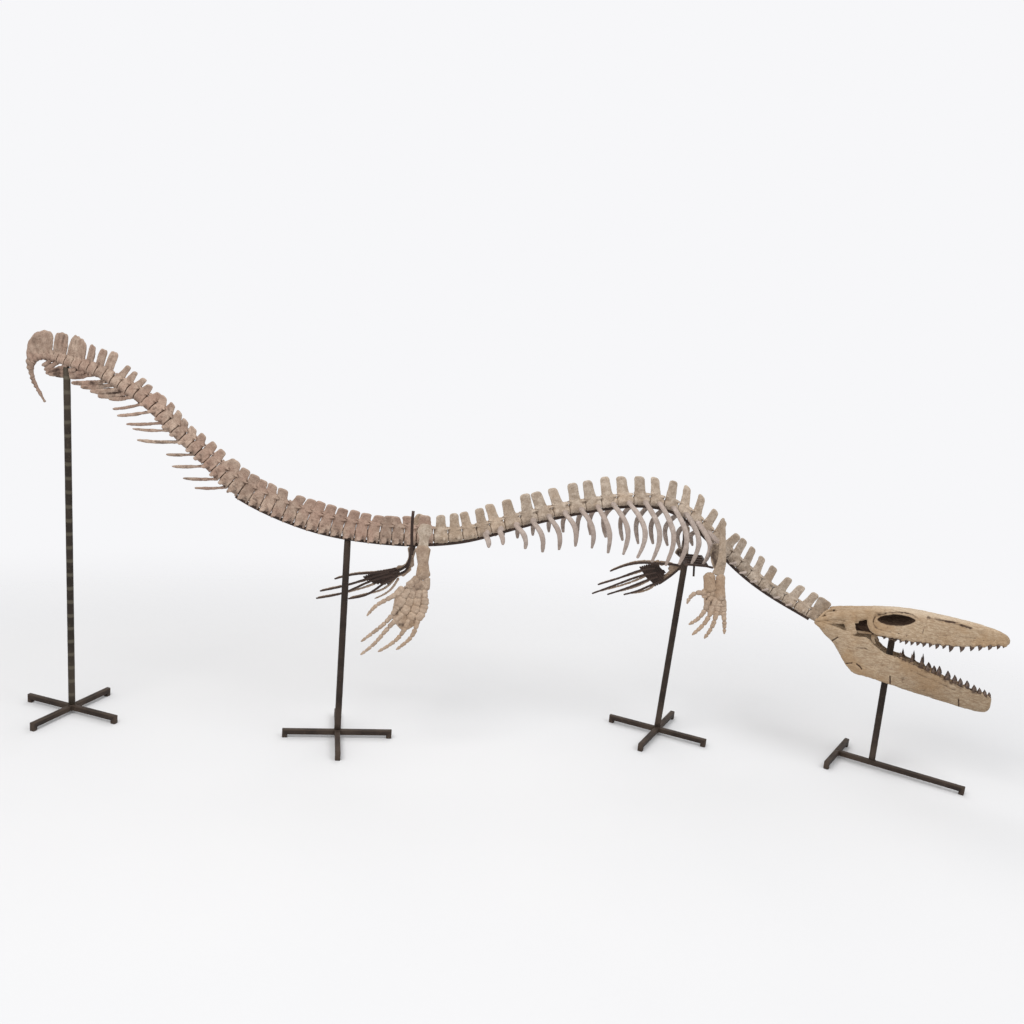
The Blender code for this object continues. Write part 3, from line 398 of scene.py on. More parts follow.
def normals(v, q, t):
    n = np.zeros_like(v)
    for f, (a, b, c, d) in ((q, (0, 1, 2, 3)), (t, (0, 1, 2, 0))):
        if len(f):
            w = np.cross(v[f[:, c]] - v[f[:, a]], v[f[:, d if f is q else b]] - v[f[:, b if f is q else a]])
            if f is t:
                w = np.cross(v[f[:, 1]] - v[f[:, 0]], v[f[:, 2]] - v[f[:, 0]])
            for k in range(f.shape[1]):
                for j in range(3):
                    n[:, j] += np.bincount(f[:, k], weights=w[:, j], minlength=len(v))
    return n / np.maximum(np.linalg.norm(n, axis=1), 1e-12)[:, None]


class Piece:
    """One piece of the visual model, gathered bone by bone."""

    def __init__(self, name, material, slot, nodes):
        self.name, self.material, self.slot, self.nodes = name, material, slot, nodes
        self.v, self.q, self.t, self.n = [], [], [], 0
        self.dirt, self.tint = [], []

    def add(self, v, q, t, tint=0.0, amount=1.0, smooth=2, extra=None, grain=1.0, seed=1, lumps=1.0):
        """Smooth, wear and colour one bone, paint grime and shade into its hollows, and take it in."""
        link = links(q, t, len(v))
        for k in range(smooth):
            v = v + 0.55 * (average(v, link) - v)
            v = v - 0.50 * (average(v, link) - v) * (0.8 if k < smooth - 1 else 0.0)
        n = normals(v, q, t)
        if amount > 0:
            d = 0.0011 * lumps * noise(v * 38, seed) + 0.00055 * noise(v * 95, seed + 5) + 0.00035 * grain * noise(v * 210, seed + 9)
            v = v + n * (d * amount)[:, None]
        # hollows are painted darker, as grime and painted shade; bumps lighter, as wear
        far = v
        for k in range(7):
            far = far + 0.7 * (average(far, link) - far)
        hollow = np.sum((far - v) * n, axis=1)
        dirt = np.clip(hollow / 0.0016, -1, 1.4)
        dirt = average(dirt, link)
        if extra is not None:
            dirt = dirt + extra(v, n)
        self.v.append(v)
        self.q.append(np.asarray(q, np.int64) + self.n)
        self.t.append(np.asarray(t, np.int64) + self.n)
        self.n += len(v)
        self.dirt.append(dirt)
        self.tint.append(np.full(len(v), tint) if np.isscalar(tint) else tint)

    def skin(self, shape, voxel, **kw):
        self.add(*skinned(*shape.arrays(), voxel), **kw)

    def shell(self, shape, **kw):
        v, q, t = shape.arrays()
        kw.setdefault("smooth", 0)
        self.add(v, q, t, **kw)

    def build(self):
        v, q, t = np.concatenate(self.v), np.concatenate(self.q), np.concatenate(self.t)
        me = plain_mesh(self.name, v, q, t)
        me.polygons.foreach_set("use_smooth", np.ones(len(me.polygons), bool))
        for key, val in (("dirt", self.dirt), ("tint", self.tint)):
            a = me.attributes.new(key, "FLOAT", "POINT")
            a.data.foreach_set("value", np.concatenate(val).astype(np.float32))
        me.materials.append(self.material)
        ob = bpy.data.objects.new(self.name, me)
        bpy.context.scene.collection.objects.link(ob)
        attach(ob, "root")
        if self.nodes:
            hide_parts(*self.nodes)
        TALLY.append((self.name, 2 * len(q) + len(t)))
        return ob


TALLY = []


# ------------------------------------------------------------------ materials
def lin(r, g, b):
    return tuple(((c / 255) / 12.92 if c <= 10 else ((c / 255 + 0.055) / 1.055) ** 2.4) for c in (r, g, b)) + (1.0,)


class Nodes:
    """Short helper to write a node tree."""

    def __init__(self, name):
        self.m = bpy.data.materials.new(name)
        self.m.use_nodes = True
        self.t = self.m.node_tree
        self.bsdf = self.t.nodes["Principled BSDF"]

    def new(self, kind, **kw):
        n = self.t.nodes.new(kind)
        for k, v in kw.items():
            setattr(n, k, v)
        return n

    def put(self, socket, value):
        if hasattr(value, "is_linked") or isinstance(value, bpy.types.NodeSocket):
            self.t.links.new(value, socket)
        else:
            socket.default_value = value

    def coords(self, scale=(1, 1, 1), turn=(0, 0, 0)):
        c = self.new("ShaderNodeTexCoord")
        m = self.new("ShaderNodeMapping")
        m.inputs["Rotation"].default_value = turn
        m.inputs["Scale"].default_value = scale
        if tuple(turn) != (0, 0, 0):
            m.vector_type = "TEXTURE"
            m.inputs["Scale"].default_value = tuple(1 / s for s in scale)
        self.t.links.new(c.outputs["Object"], m.inputs["Vector"])
        return m.outputs["Vector"]

    def noise(self, vec, scale, detail=4.0, rough=0.55, distort=0.0):
        n = self.new("ShaderNodeTexNoise")
        self.t.links.new(vec, n.inputs["Vector"])
        n.inputs["Scale"].default_value = scale
        n.inputs["Detail"].default_value = detail
        n.inputs["Roughness"].default_value = rough
        n.inputs["Distortion"].default_value = distort
        return n.outputs["Fac"]

    def cracks(self, vec, scale):
        n = self.new("ShaderNodeTexVoronoi", feature="DISTANCE_TO_EDGE")
        self.t.links.new(vec, n.inputs["Vector"])
        n.inputs["Scale"].default_value = scale
        return n.outputs["Distance"]

    def span(self, x, a, b, lo=0.0, hi=1.0):
        n = self.new("ShaderNodeMapRange")
        n.interpolation_type = "SMOOTHSTEP"
        self.put(n.inputs["Value"], x)
        for k, v in (("From Min", a), ("From Max", b), ("To Min", lo), ("To Max", hi)):
            n.inputs[k].default_value = v
        return n.outputs["Result"]

    def math(self, op, a, b=0.0, clamp=False):
        n = self.new("ShaderNodeMath", operation=op, use_clamp=clamp)
        self.put(n.inputs[0], a)
        self.put(n.inputs[1], b)
        return n.outputs[0]

    def mix(self, fac, a, b, kind="MIX"):
        n = self.new("ShaderNodeMix", data_type="RGBA", blend_type=kind)
        self.put(n.inputs["Factor"], fac)
        self.put(n.inputs["A"], a)
        self.put(n.inputs["B"], b)
        return [o for o in n.outputs if o.type == "RGBA"][0]

    def attribute(self, name):
        n = self.new("ShaderNodeAttribute", attribute_name=name)
        return n.outputs["Fac"]

    def link(self, a, b):
        self.t.links.new(a, b)


def bone_material(name, light, mid, warm, dark, dirt, streak=(1, 1, 1), turn=(0, 0, 0), rough=0.80, crack=0.20):
    """Old mineral bone: blotches, speckle, fine cracks, grime and painted shade in the hollows and undersides."""
    k = Nodes(name)
    v = k.coords(streak, turn)
    flat = k.coords()
    big = k.noise(flat, 5.5, 3.0, 0.5)
    patch = k.noise(v, 34.0, 5.0, 0.62, 0.4)
    fine = k.noise(v, 150.0, 5.0, 0.68)
    grit = k.noise(flat, 520.0, 3.0, 0.6)
    line = k.cracks(v, 17.0)
    c = k.mix(k.span(patch, 0.38, 0.64), lin(*mid), lin(*light))
    c = k.mix(k.math("MULTIPLY", k.span(big, 0.42, 0.62), 0.55), c, lin(*warm))
    c = k.mix(k.math("MULTIPLY", k.span(fine, 0.48, 0.70), 0.62), c, lin(*dark))
    c = k.mix(k.math("MULTIPLY", k.span(k.noise(flat, 62.0, 3.0, 0.6), 0.58, 0.72), 0.45), c, lin(*dark))
    c = k.mix(k.math("MULTIPLY", k.span(grit, 0.60, 0.75), 0.30), c, lin(*dirt))
    c = k.mix(k.math("MULTIPLY", k.span(k.math("ADD", line, k.math("MULTIPLY", fine, 0.05)), 0.032, 0.044, crack, 0.0), 0.8), c, lin(*dirt))
    tint = k.new("ShaderNodeHueSaturation")
    k.link(c, tint.inputs["Color"])
    k.link(k.math("MULTIPLY_ADD", k.attribute("tint"), 0.10), tint.inputs["Value"])
    tint.inputs["Value"].links[0].from_node.inputs[2].default_value = 1.0
    c = tint.outputs["Color"]
    c = k.mix(k.math("MULTIPLY", k.span(k.attribute("tint"), 0.9, 2.6), 0.42), c, lin(200, 188, 170))
    # painted shade and grime: hollows and undersides mix towards the darkest colour; convex edges lighter, as wear
    cav = k.attribute("dirt")
    amount = k.math("MULTIPLY", k.span(cav, 0.02, 0.85), k.span(patch, 0.25, 0.6, 0.75, 1.0), True)
    c = k.mix(amount, c, lin(*dirt))
    c = k.mix(k.math("MULTIPLY", k.span(cav, -0.15, -0.9), 0.28), c, lin(*light))
    k.link(c, k.bsdf.inputs["Base Color"])
    k.link(k.span(patch, 0.3, 0.7, rough - 0.10, rough + 0.12), k.bsdf.inputs["Roughness"])
    k.bsdf.inputs["Specular IOR Level"].default_value = 0.28
    h = k.math("ADD", k.math("MULTIPLY", fine, 0.7), k.math("MULTIPLY", grit, 0.25))
    h = k.math("ADD", h, k.math("MULTIPLY", patch, 0.8))
    b = k.new("ShaderNodeBump")
    b.inputs["Strength"].default_value = 0.75
    b.inputs["Distance"].default_value = 0.0034
    k.link(h, b.inputs["Height"])
    k.link(b.outputs["Normal"], k.bsdf.inputs["Normal"])
    return k.m


def tooth_material():
    k = Nodes("tooth_enamel")
    v = k.coords()
    n = k.noise(v, 90.0, 4.0)
    f = k.noise(v, 420.0, 3.0)
    c = k.mix(k.span(n, 0.35, 0.65), lin(58, 42, 34), lin(96, 74, 58))
    c = k.mix(k.math("MULTIPLY", k.span(f, 0.5, 0.7), 0.5), c, lin(40, 29, 25))
    c = k.mix(k.span(k.attribute("dirt"), 0.0, 1.0), c, lin(126, 100, 76))
    k.link(c, k.bsdf.inputs["Base Color"])
    k.bsdf.inputs["Roughness"].default_value = 0.42
    b = k.new("ShaderNodeBump")
    b.inputs["Strength"].default_value = 0.3
    b.inputs["Distance"].default_value = 0.001
    k.link(f, b.inputs["Height"])
    k.link(b.outputs["Normal"], k.bsdf.inputs["Normal"])
    return k.m


def steel_material(name, base, worn, deep, bands=0.0):
    """Dark brown paint on steel, with lighter worn patches and worn edges."""
    k = Nodes(name)
    v = k.coords()
    big = k.noise(v, 12.0, 4.0)
    mid = k.noise(v, 70.0, 5.0, 0.6)
    fine = k.noise(v, 420.0, 3.0)
    c = k.mix(k.span(big, 0.35, 0.65), lin(*base), lin(*deep))
    c = k.mix(k.math("MULTIPLY", k.span(mid, 0.52, 0.72), 0.6), c, lin(*worn))
    c = k.mix(k.math("MULTIPLY", k.span(k.attribute("dirt"), -0.1, -0.9), 0.55), c, lin(*worn))
    if bands:
        w = k.new("ShaderNodeTexWave", wave_type="BANDS", bands_direction="Z")
        k.link(v, w.inputs["Vector"])
        w.inputs["Scale"].default_value = bands
        w.inputs["Distortion"].default_value = 1.5
        w.inputs["Detail"].default_value = 2.0
        c = k.mix(k.math("MULTIPLY", k.span(w.outputs["Fac"], 0.72, 0.98), 0.55), c, lin(104, 98, 84))
    k.link(c, k.bsdf.inputs["Base Color"])
    k.bsdf.inputs["Metallic"].default_value = 0.15
    k.link(k.span(mid, 0.3, 0.7, 0.52, 0.74), k.bsdf.inputs["Roughness"])
    k.bsdf.inputs["Specular IOR Level"].default_value = 0.25
    b = k.new("ShaderNodeBump")
    b.inputs["Strength"].default_value = 0.35
    b.inputs["Distance"].default_value = 0.0008
    k.link(k.math("ADD", k.math("MULTIPLY", mid, 0.6), k.math("MULTIPLY", fine, 0.4)), b.inputs["Height"])
    k.link(b.outputs["Normal"], k.bsdf.inputs["Normal"])
    return k.m


TAIL = bone_material("tail_bone", (178, 158, 142), (150, 128, 113), (158, 128, 114), (108, 86, 73), (56, 39, 32))
TRUNK = bone_material("trunk_bone", (194, 179, 163), (164, 147, 130), (168, 145, 122), (117, 99, 84), (56, 42, 34))
RIBS = bone_material("rib_bone", (186, 172, 163), (154, 140, 131), (156, 136, 124), (108, 92, 84), (60, 47, 41))
LIMB = bone_material("limb_bone", (186, 166, 147), (158, 136, 118), (166, 138, 110), (112, 90, 75), (54, 39, 31))
SKULLM = bone_material("skull_bone", (190, 170, 145), (162, 138, 112), (166, 134, 98), (120, 95, 73), (58, 40, 31),
                       streak=(1, 5, 5), turn=(0, 0, math.radians(HEAD_YAW)))
TOOTH = tooth_material()
STEEL = steel_material("stand_steel", (50, 40, 35), (84, 71, 61), (31, 24, 21))
TAILROD = steel_material("stand_steel_banded", (48, 41, 35), (80, 71, 60), (33, 27, 23), bands=4.6)
FRAMES = steel_material("frame_steel", (56, 43, 38), (92, 75, 67), (31, 23, 21))


# ------------------------------------------------------------------ vertebrae
CIRC = 2 * math.pi * np.arange(20) / 20


def body_ring(s, r, flat=1.0):
    c, t, l, u = frame(s)
    x, z = np.cos(CIRC) * r, np.sin(CIRC) * r * flat
    return c + np.outer(x, l) + np.outer(z, u)


def slab_ring(c, t, l, a, b, power=3.0):
    """Long rounded outline: a along t and b along l, about c."""
    ca = np.sign(np.cos(CIRC)) * np.abs(np.cos(CIRC)) ** (2 / power)
    sa = np.sign(np.sin(CIRC)) * np.abs(np.sin(CIRC)) ** (2 / power)
    return c + np.outer(ca * a, t) + np.outer(sa * b, l)


def vertebra(region, i, s0, s1, seed):
    sh = Shape()
    mid, ln = 0.5 * (s0 + s1), s1 - s0
    r, h, lean = table(CENTRUM_R, mid), table(SPINE_H, mid), table(LEAN, mid)
    low = 0.0
    if seed in MATCH:
        lean = float(np.clip(mid - MATCH[seed], -0.34 * ln, 0.34 * ln)) if region in ("mid", "base") else mid - MATCH[seed]
        low = float(np.clip(0.45 * lean, -0.16 * ln, 0.16 * ln))
    arch = table(ARCH, mid) * r
    foot, top = BLADE[region]
    if region == "neck" and i == 9:
        foot, top, lean = 1.00, 1.05, -0.004
    # body: ball towards the tail, cup towards the head
    prof = [(-0.03, 0.35), (0.0, 0.70), (0.03, 0.90), (0.07, 1.02), (0.13, 1.03), (0.22, 0.95), (0.36, 0.88),
            (0.52, 0.86), (0.68, 0.90), (0.82, 0.98), (0.90, 1.05), (0.95, 1.04), (0.972, 0.90), (0.94, 0.60), (0.925, 0.3)]
    if region == "tip":
        prof = [(0.0, 0.7), (0.10, 1.0), (0.3, 0.92), (0.5, 0.84), (0.7, 0.92), (0.9, 1.05), (0.99, 0.7)]
    sh.loft([body_ring(s0 + ln * q, r * k, 0.97) for q, k in prof])
    c, t, l, u = frame(mid)
    if s0 > 0.6:
        sh.blob(c - u * 0.44 * r, t * 0.488 * ln, l * 0.62 * r, u * 0.60 * r, 18, 11, 3.2)
    # roof of the canal, nearly as long as the body
    if s0 > 0.2:
        side = 1.0 if region != "neck" else 0.9
        sh.loft([slab_ring(c + u * z, t, l, a * ln, b, 3.2) for z, a, b in
                 ((0.30 * r, 0.455, 0.70 * r), (0.75 * r, 0.470, 0.66 * r * side), (1.05 * r, 0.480, 0.56 * r * side),
                  (0.55 * r + 0.5 * arch, 0.482, 0.46 * r), (arch + 0.06 * r, 0.47, 0.34 * r), (arch + 0.22 * r, 0.42, 0.24 * r))])
    if mid < 0.615:
        return sh
    # neural spine
    thick = max(0.0046, 0.20 * r)
    rings = []
    foot, top = foot * (1 + 0.05 * hashed(seed, 21)), top * (1 + 0.08 * hashed(seed, 22))
    h = h * (1 + 0.02 * hashed(seed, 23)) + 0.001
    warp = 0.0035 * hashed(seed, 3)
    tilt = 0.05 * ln * hashed(seed, 24)
    for f, ka, kb in ((-0.25, 1.0, 1.4), (0.0, 1.0, 1.4), (0.14, 1.0, 1.12), (0.35, 0.98, 1.0), (0.55, 1.0, 0.94), (0.72, 1.03, 0.98),
                      (0.84, 1.03, 1.10), (0.92, 0.93, 1.12), (0.97, 0.74, 0.95), (1.0, 0.42, 0.55)):
        z = arch + (h - arch) * f
        g = max(f, 0.0)
        if region in ("base", "mid", "end"):
            w = np.interp(g, [0, 0.35, 0.62, 1.0], [0.97, 0.5 * (foot + 0.95), 0.62 * foot + 0.38 * top, top])
        else:
            w = foot + (top - foot) * g
        cc = c + u * z - t * (low + (lean - low) * g) + l * (warp * g * g)
        ring = slab_ring(cc, t, l, 0.5 * ln * w * ka, thick * kb, 3.0)
        rings.append(ring + np.outer((ring - cc) @ t, u) * (tilt / (0.5 * ln) * g * g))
    sh.loft(rings)
    # joint processes
    if region not in ("tip", "fan") and s0 > 0.6:
        for sg in (1, -1):
            sh.tube([c + t * (0.22 * ln) + l * sg * 0.34 * r + u * arch * 0.86, c + t * (0.46 * ln) + l * sg * 0.52 * r + u * arch * 0.93,
                     c + t * (0.555 * ln) + l * sg * 0.56 * r + u * arch * 0.97], [0.17 * r, 0.17 * r, 0.13 * r], [0.22 * r, 0.22 * r, 0.16 * r], u, 10)
            sh.tube([c - t * (0.20 * ln) + l * sg * 0.20 * r + u * arch * 1.0, c - t * (0.47 * ln) + l * sg * 0.30 * r + u * arch * 1.12],
                    [0.17 * r, 0.12 * r], [0.2 * r, 0.16 * r], u, 10)
    if region in ("mid", "base", "sacral") and mid > 0.80:
        reach = table(PROCESS, mid)
        for sg in (1, -1):
            rings = []
            for f, a, b in ((0.0, 0.30, 0.0120), (0.12, 0.26, 0.0085), (0.5, 0.22, 0.0060), (0.85, 0.21, 0.0050), (0.96, 0.17, 0.0042), (1.0, 0.11, 0.0026)):
                x = 0.62 * r + (0.38 * r + reach) * f
                rings.append(slab_ring(c - t * (0.006 + 0.004 * f) + l * sg * x - u * (0.004 + 0.006 * f * f), t, u, a * ln, b, 2.3))
            sh.loft(rings)
    if region == "base":
        for sg in (1, -1):
            sh.blob(c - t * 0.33 * ln + l * sg * 0.52 * r - u * 1.02 * r, t * 0.13 * ln, l * 0.20 * r, u * 0.42 * r, 12, 7)
            sh.blob(c + t * 0.36 * ln + l * sg * 0.48 * r - u * 0.95 * r, t * 0.10 * ln, l * 0.18 * r, u * 0.26 * r, 12, 7)
    if region in ("trunk", "neck"):
        for sg in (1, -1):
            sh.tube([c + t * 0.14 * ln + l * sg * 0.55 * r + u * 0.10 * r, c + t * 0.16 * ln + l * sg * 1.05 * r + u * 0.06 * r,
                     c + t * 0.15 * ln + l * sg * 1.38 * r + u * 0.0 * r], [0.46 * r, 0.36 * r, 0.34 * r], [0.20 * ln, 0.13 * ln, 0.12 * ln], u, 12)
    for cs, length, sweep in CHEVRONS:
        if s0 <= cs < s1:
            chevron(sh, mid, r, length, sweep, 1.0)
    return sh


def chevron(sh, s, r, tip_s, tip_h, wide=1.0):
    """Haemal arch: two arms under the body that join into one swept spine."""
    c, t, l, u = frame(s)
    start, end = c - u * (r * 0.85), place(tip_s, 0, 0, tip_h)
    length = np.linalg.norm(end - start)

    def at(f):
        return start + (end - start) * f - u * (0.035 * length * math.sin(math.pi * f))

    for sg in (1, -1):
        pts = [at(f) + l * sg * 0.42 * r * (1 - f / 0.36) for f in (0.0, 0.12, 0.25, 0.36)]
        sh.tube(pts, [0.0060, 0.0052, 0.0050, 0.0056], [0.0070 * wide, 0.0064 * wide, 0.0064 * wide, 0.0070 * wide], l, 10)
    pts = [at(f) for f in (0.28, 0.42, 0.56, 0.7, 0.84, 0.93, 0.975)]
    sh.tube(pts, [0.0060, 0.0060, 0.0058, 0.0056, 0.0052, 0.0046, 0.0036],
            np.array([0.0080, 0.0084, 0.0082, 0.0078, 0.0070, 0.0058, 0.0040]) * wide, l, 12)


SAILS = [(0.060, 0.135, [(0.05, 0.008), (0.135, 0.016)], 0.9),
         (0.120, 0.305, [(0.12, 0.010), (0.150, 0.014), (0.175, 0.026), (0.207, 0.044), (0.230, 0.082), (0.244, 0.106), (0.258, 0.118),
                         (0.281, 0.124), (0.305, 0.120)], 0.80),
         (0.309, 0.371, [(0.309, 0.116), (0.327, 0.127), (0.350, 0.129), (0.371, 0.116)], 0.66),
         (0.377, 0.466, [(0.377, 0.124), (0.405, 0.137), (0.438, 0.127), (0.466, 0.112)], 0.60),
         (0.474, 0.507, [(0.474, 0.108), (0.488, 0.119), (0.507, 0.108)], 0.44),
         (0.519, 0.556, [(0.519, 0.108), (0.534, 0.118), (0.556, 0.110)], 0.46),
         (0.560, 0.603, [(0.560, 0.118), (0.575, 0.128), (0.603, 0.124)], 0.50)]
KEELS = [(0.300, 0.236, -0.040, 1.3), (0.335, 0.250, -0.062, 1.6), (0.385, 0.262, -0.078, 1.9), (0.430, 0.290, -0.082, 1.9),
         (0.475, 0.330, -0.080, 1.9), (0.515, 0.385, -0.070, 1.7), (0.590, 0.418, -0.090, 1.6), (0.625, 0.470, -0.096, 1.7),
         (0.665, 0.530, -0.100, 1.8), (0.700, 0.585, -0.104, 1.8), (0.735, 0.640, -0.088, 1.5),
         (0.796, 0.677, -0.122, 1.05), (0.852, 0.709, -0.139, 1.05), (0.925, 0.776, -0.151, 1.05), (0.972, 0.834, -0.149, 1.0),
         (1.045, 0.900, -0.173, 1.15), (1.130, 1.036, -0.118, 1.0), (1.205, 1.092, -0.142, 1.05), (1.288, 1.174, -0.146, 1.05),
         (1.345, 1.245, -0.136, 0.95)]


def sail(sh, a, b, line, low):
    """Plate of neural spines grown together."""
    line = np.array(line)
    rings = []
    for s in np.linspace(a, b, max(12, int((b - a) / 0.0026))):
        x = abs(2 * (s - a) / (b - a) - 1)
        c, t, l, u = frame(s)
        r = table(CENTRUM_R, s)
        top = float(np.interp(s, line[:, 0], line[:, 1]))
        h = top * (low + (1 - low) * (1 - x ** 9) ** 0.6) + 0.0020 * math.cos(s * 2 * math.pi / 0.021)
        base = 0.15 * r
        th = 0.0054 + 0.0021 * math.cos(s * 2 * math.pi / 0.021) - 0.0012 * x ** 8
        rings.append(slab_ring(c + u * (0.5 * (h + base)), u, l, 0.5 * max(h - base, 0.004), th, 3.2))
    sh.loft(rings)


def backbone_dirt(s, r, ln):
    """Painted shade: undersides, the bottom of each body and the joint ends between vertebrae are darker than tops;
    noise adds random grime.
    """
    c, t, l, u = frame(s)

    def extra(v, n):
        h = (v - c) @ u / r
        x = np.abs((v - c) @ t) / (0.5 * ln)
        e = 0.30 * np.clip(-n[:, 2], 0, 1) - 0.10
        e = e + 0.75 * np.clip((-0.62 - h) / 0.35, 0, 1) * (0.55 + 0.45 * noise(v * 30, 17))
        e = e + 0.20 * np.clip((x - 0.86) / 0.12, 0, 1) * (h < 1.6)
        return e + 0.24 * noise(v * 16, 23)

    return extra


PIECES = {
    "tail_tip": ("tail_tip", TAIL, "tail_bone", ["tail_tip"], 0.0, 0.340, 0.0021),
    "tail_end": ("tail_end", TAIL, "tail_bone", ["tail_end"], 0.340, 1.350, 0.0030),
    "tail_base": ("tail_base", TAIL, "tail_bone", ["tail_base"], 1.350, 2.273, 0.0030),
    "sacrum": ("sacrum", TAIL, "trunk_bone", ["sacrum"], 2.273, 2.358, 0.0030),
    "trunk": ("trunk_vertebrae", TRUNK, "trunk_bone", ["trunk_left", "trunk_right"], 2.358, 3.865, 0.0030),
    "neck": ("neck", TRUNK, "trunk_bone", ["neck"], 3.865, 4.596, 0.0028)}

for key, (name, mat, slot, nodes, s0, s1, voxel) in PIECES.items():
    piece = Piece(name, mat, slot, nodes)
    group = None
    for k, (region, i, a, b) in enumerate(VERTS):
        if not s0 - 1e-6 <= 0.5 * (a + b) < s1:
            continue
        sh = vertebra(region, i, a, b, k)
        if region in ("tip", "fan"):
            if group is None:
                group = Shape()
            v, q, t = sh.arrays()
            group.v.append(v)
            group.q.append(q + group.n)
            group.t.append(t + group.n)
            group.n += len(v)
            if i == 5:
                for sa, sb, line, low in SAILS:
                    if (sb <= 0.14) if region == "tip" else (0.14 < sb < 0.372):
                        sail(group, sa, sb, line, low)
                if region == "tip":
                    group.blob(frame(0.046)[0], frame(0.046)[1] * 0.020, frame(0.046)[2] * 0.0085, frame(0.046)[3] * 0.0095)
                else:
                    for ks, kl, kd, kw in KEELS[:2]:
                        chevron(group, ks, table(CENTRUM_R, ks), kl, kd, kw)
                # painted shade: downward faces and the low parts of the tail tip, below 1.69 m, are darker; noise adds
                # random grime
                piece.skin(group, voxel, tint=-1.0 if region == "tip" else -0.4, seed=k + 1, lumps=0.9,
                           extra=lambda v, n: 0.35 * np.clip(-n[:, 2], 0, 1) - 0.02 + 0.35 * noise(v * 24, 23)
                           + 0.30 * np.clip((1.690 - v[:, 2]) / 0.06, 0, 1))
                group = None
            continue
        for sa, sb, line, low in SAILS:
            if a <= 0.5 * (sa + sb) < b and sa > 0.372:
                sail(sh, sa, sb, line, low)
        for ks, kl, kd, kw in KEELS:
            if a <= ks < b:
                chevron(sh, ks, table(CENTRUM_R, ks), kl, kd, kw)
        shade = -1.0 if region == "neck" else (0.6 if region == "mid" else 0.0)
        piece.skin(sh, voxel, tint=hashed(k, 1) + shade, extra=backbone_dirt(0.5 * (a + b), table(CENTRUM_R, 0.5 * (a + b)), b - a), seed=k + 1, lumps=1.25)
    piece.build()


# ------------------------------------------------------------------ ribs
def rib(piece, s, side, fall, seed, length):
    fall = fall * 1.09 + 0.010
    c, t, l, u = frame(s)
    fwd = np.array([t[0], t[1], 0.0])
    fwd /= np.linalg.norm(fwd)
    down = np.array([0, 0, -1.0])
    r = table(CENTRUM_R, s)
    wide = RIB_WIDE * fall * (0.85 if side > 0 else 1.0)
    wide = min(max(wide, 0.045), table(RIB_LIMIT, s))
    reach = fall * (0.86 if side > 0 else 1.0)
    g = 1.0 if side < 0 else -0.35
    path = [(0.30 * wide, 0.0, 0.004 * abs(g)), (0.66 * wide, 0.12, 0.014 * abs(g)), (wide, 0.52, 0.042 * g), (0.88 * wide, 0.985, (0.050 + 0.018 * (s > 3.2)) * g)]
    if s > 3.2:
        k = min((s - 3.2) / 0.12, 1.0)
        g = g if side < 0 else -0.35 - 0.35 * k
        path = [(0.30 * wide, 0.0, 0.004 + 0.003 * k), (0.66 * wide, 0.12, (0.014 + 0.014 * k) * (g if side < 0 else 0.0)), (wide, 0.50, (0.042 + 0.028 * k) * g),
                (0.88 * wide, 0.985, (0.060 - 0.010 * k) * g)]
    if fall < 0.10:
        path = [(0.30 * wide, 0.06, 0.002), (0.6 * wide, 0.3, 0.006), (wide, 0.97, 0.014)]
    pts = [c + l * side * 1.40 * r + t * 0.15 * length] + [c + l * side * (r + a) + down * reach * d + fwd * g2 for a, d, g2 in path]
    pts = smooth_path(pts, 30)
    pts = resample(pts, 34)
    f = np.linspace(0, 1, len(pts))
    wob = np.stack([noise(np.stack([f * 2.5 + seed, f * 0 + 3.3, f * 0], 1), 7), noise(np.stack([f * 2.5 + seed, f * 0 + 9.1, f * 0], 1), 8)], 1)
    pts = pts + fwd * (0.0022 * wob[:, :1]) + l * (0.002 * wob[:, 1:])
    half_w = np.interp(f, [0, 0.05, 0.12, 0.3, 0.6, 0.88, 1.0], [0.0150, 0.0145, 0.0126, 0.0135, 0.0134, 0.0108, 0.0068])
    half_n = np.interp(f, [0, 0.06, 0.15, 0.4, 0.8, 1.0], [0.0105, 0.0094, 0.0080, 0.0076, 0.0066, 0.0046])
    sh = Shape()
    sh.tube(pts, half_w, half_n, fwd, 18, 2.4)
    # painted shade: downward faces, the far (left) ribs and the rib heads next to the backbone are darker; noise adds
    # random grime
    piece.shell(sh, tint=hashed(seed, 5), seed=seed + 40, lumps=1.0,
                extra=lambda v, n: 0.35 * np.clip(-n[:, 2], 0, 1) - 0.10 + (0.35 if side > 0 else 0.0) + 0.25 * noise(v * 22, 19)
                + 0.45 * np.clip(1 - np.linalg.norm(v - pts[0], axis=1) / 0.06, 0, 1))


for side, name, node in ((-1, "ribs_right", "trunk_right"), (1, "ribs_left", "trunk_left")):
    piece = Piece(name, RIBS, "trunk_bone", [node])
    for k, (region, i, a, b) in enumerate(VERTS):
        if region == "trunk" and RIB_DROP[i] > 0:
            rib(piece, 0.5 * (a + b), side, RIB_DROP[i], k * 2 + (side > 0), b - a)
        if region == "neck" and i < 8:
            s, ln = 0.5 * (a + b), b - a
            c, t, l, u = frame(s)
            r = table(CENTRUM_R, s)
            size = 1.0 - 0.06 * i
            pts = [c + t * 0.15 * ln + l * side * 1.42 * r - u * 0.05 * r, c + t * 0.02 * ln + l * side * 1.75 * r - u * 0.65 * r * size,
                   c - t * 0.20 * ln * size + l * side * 1.85 * r - u * 1.25 * r * size]
            sh = Shape()
            sh.tube(smooth_path(pts, 10), np.linspace(0.0085, 0.0040, 10), np.linspace(0.0070, 0.0035, 10), t, 12)
            piece.shell(sh, tint=hashed(k, 6), seed=k, lumps=0.5)
    piece.build()


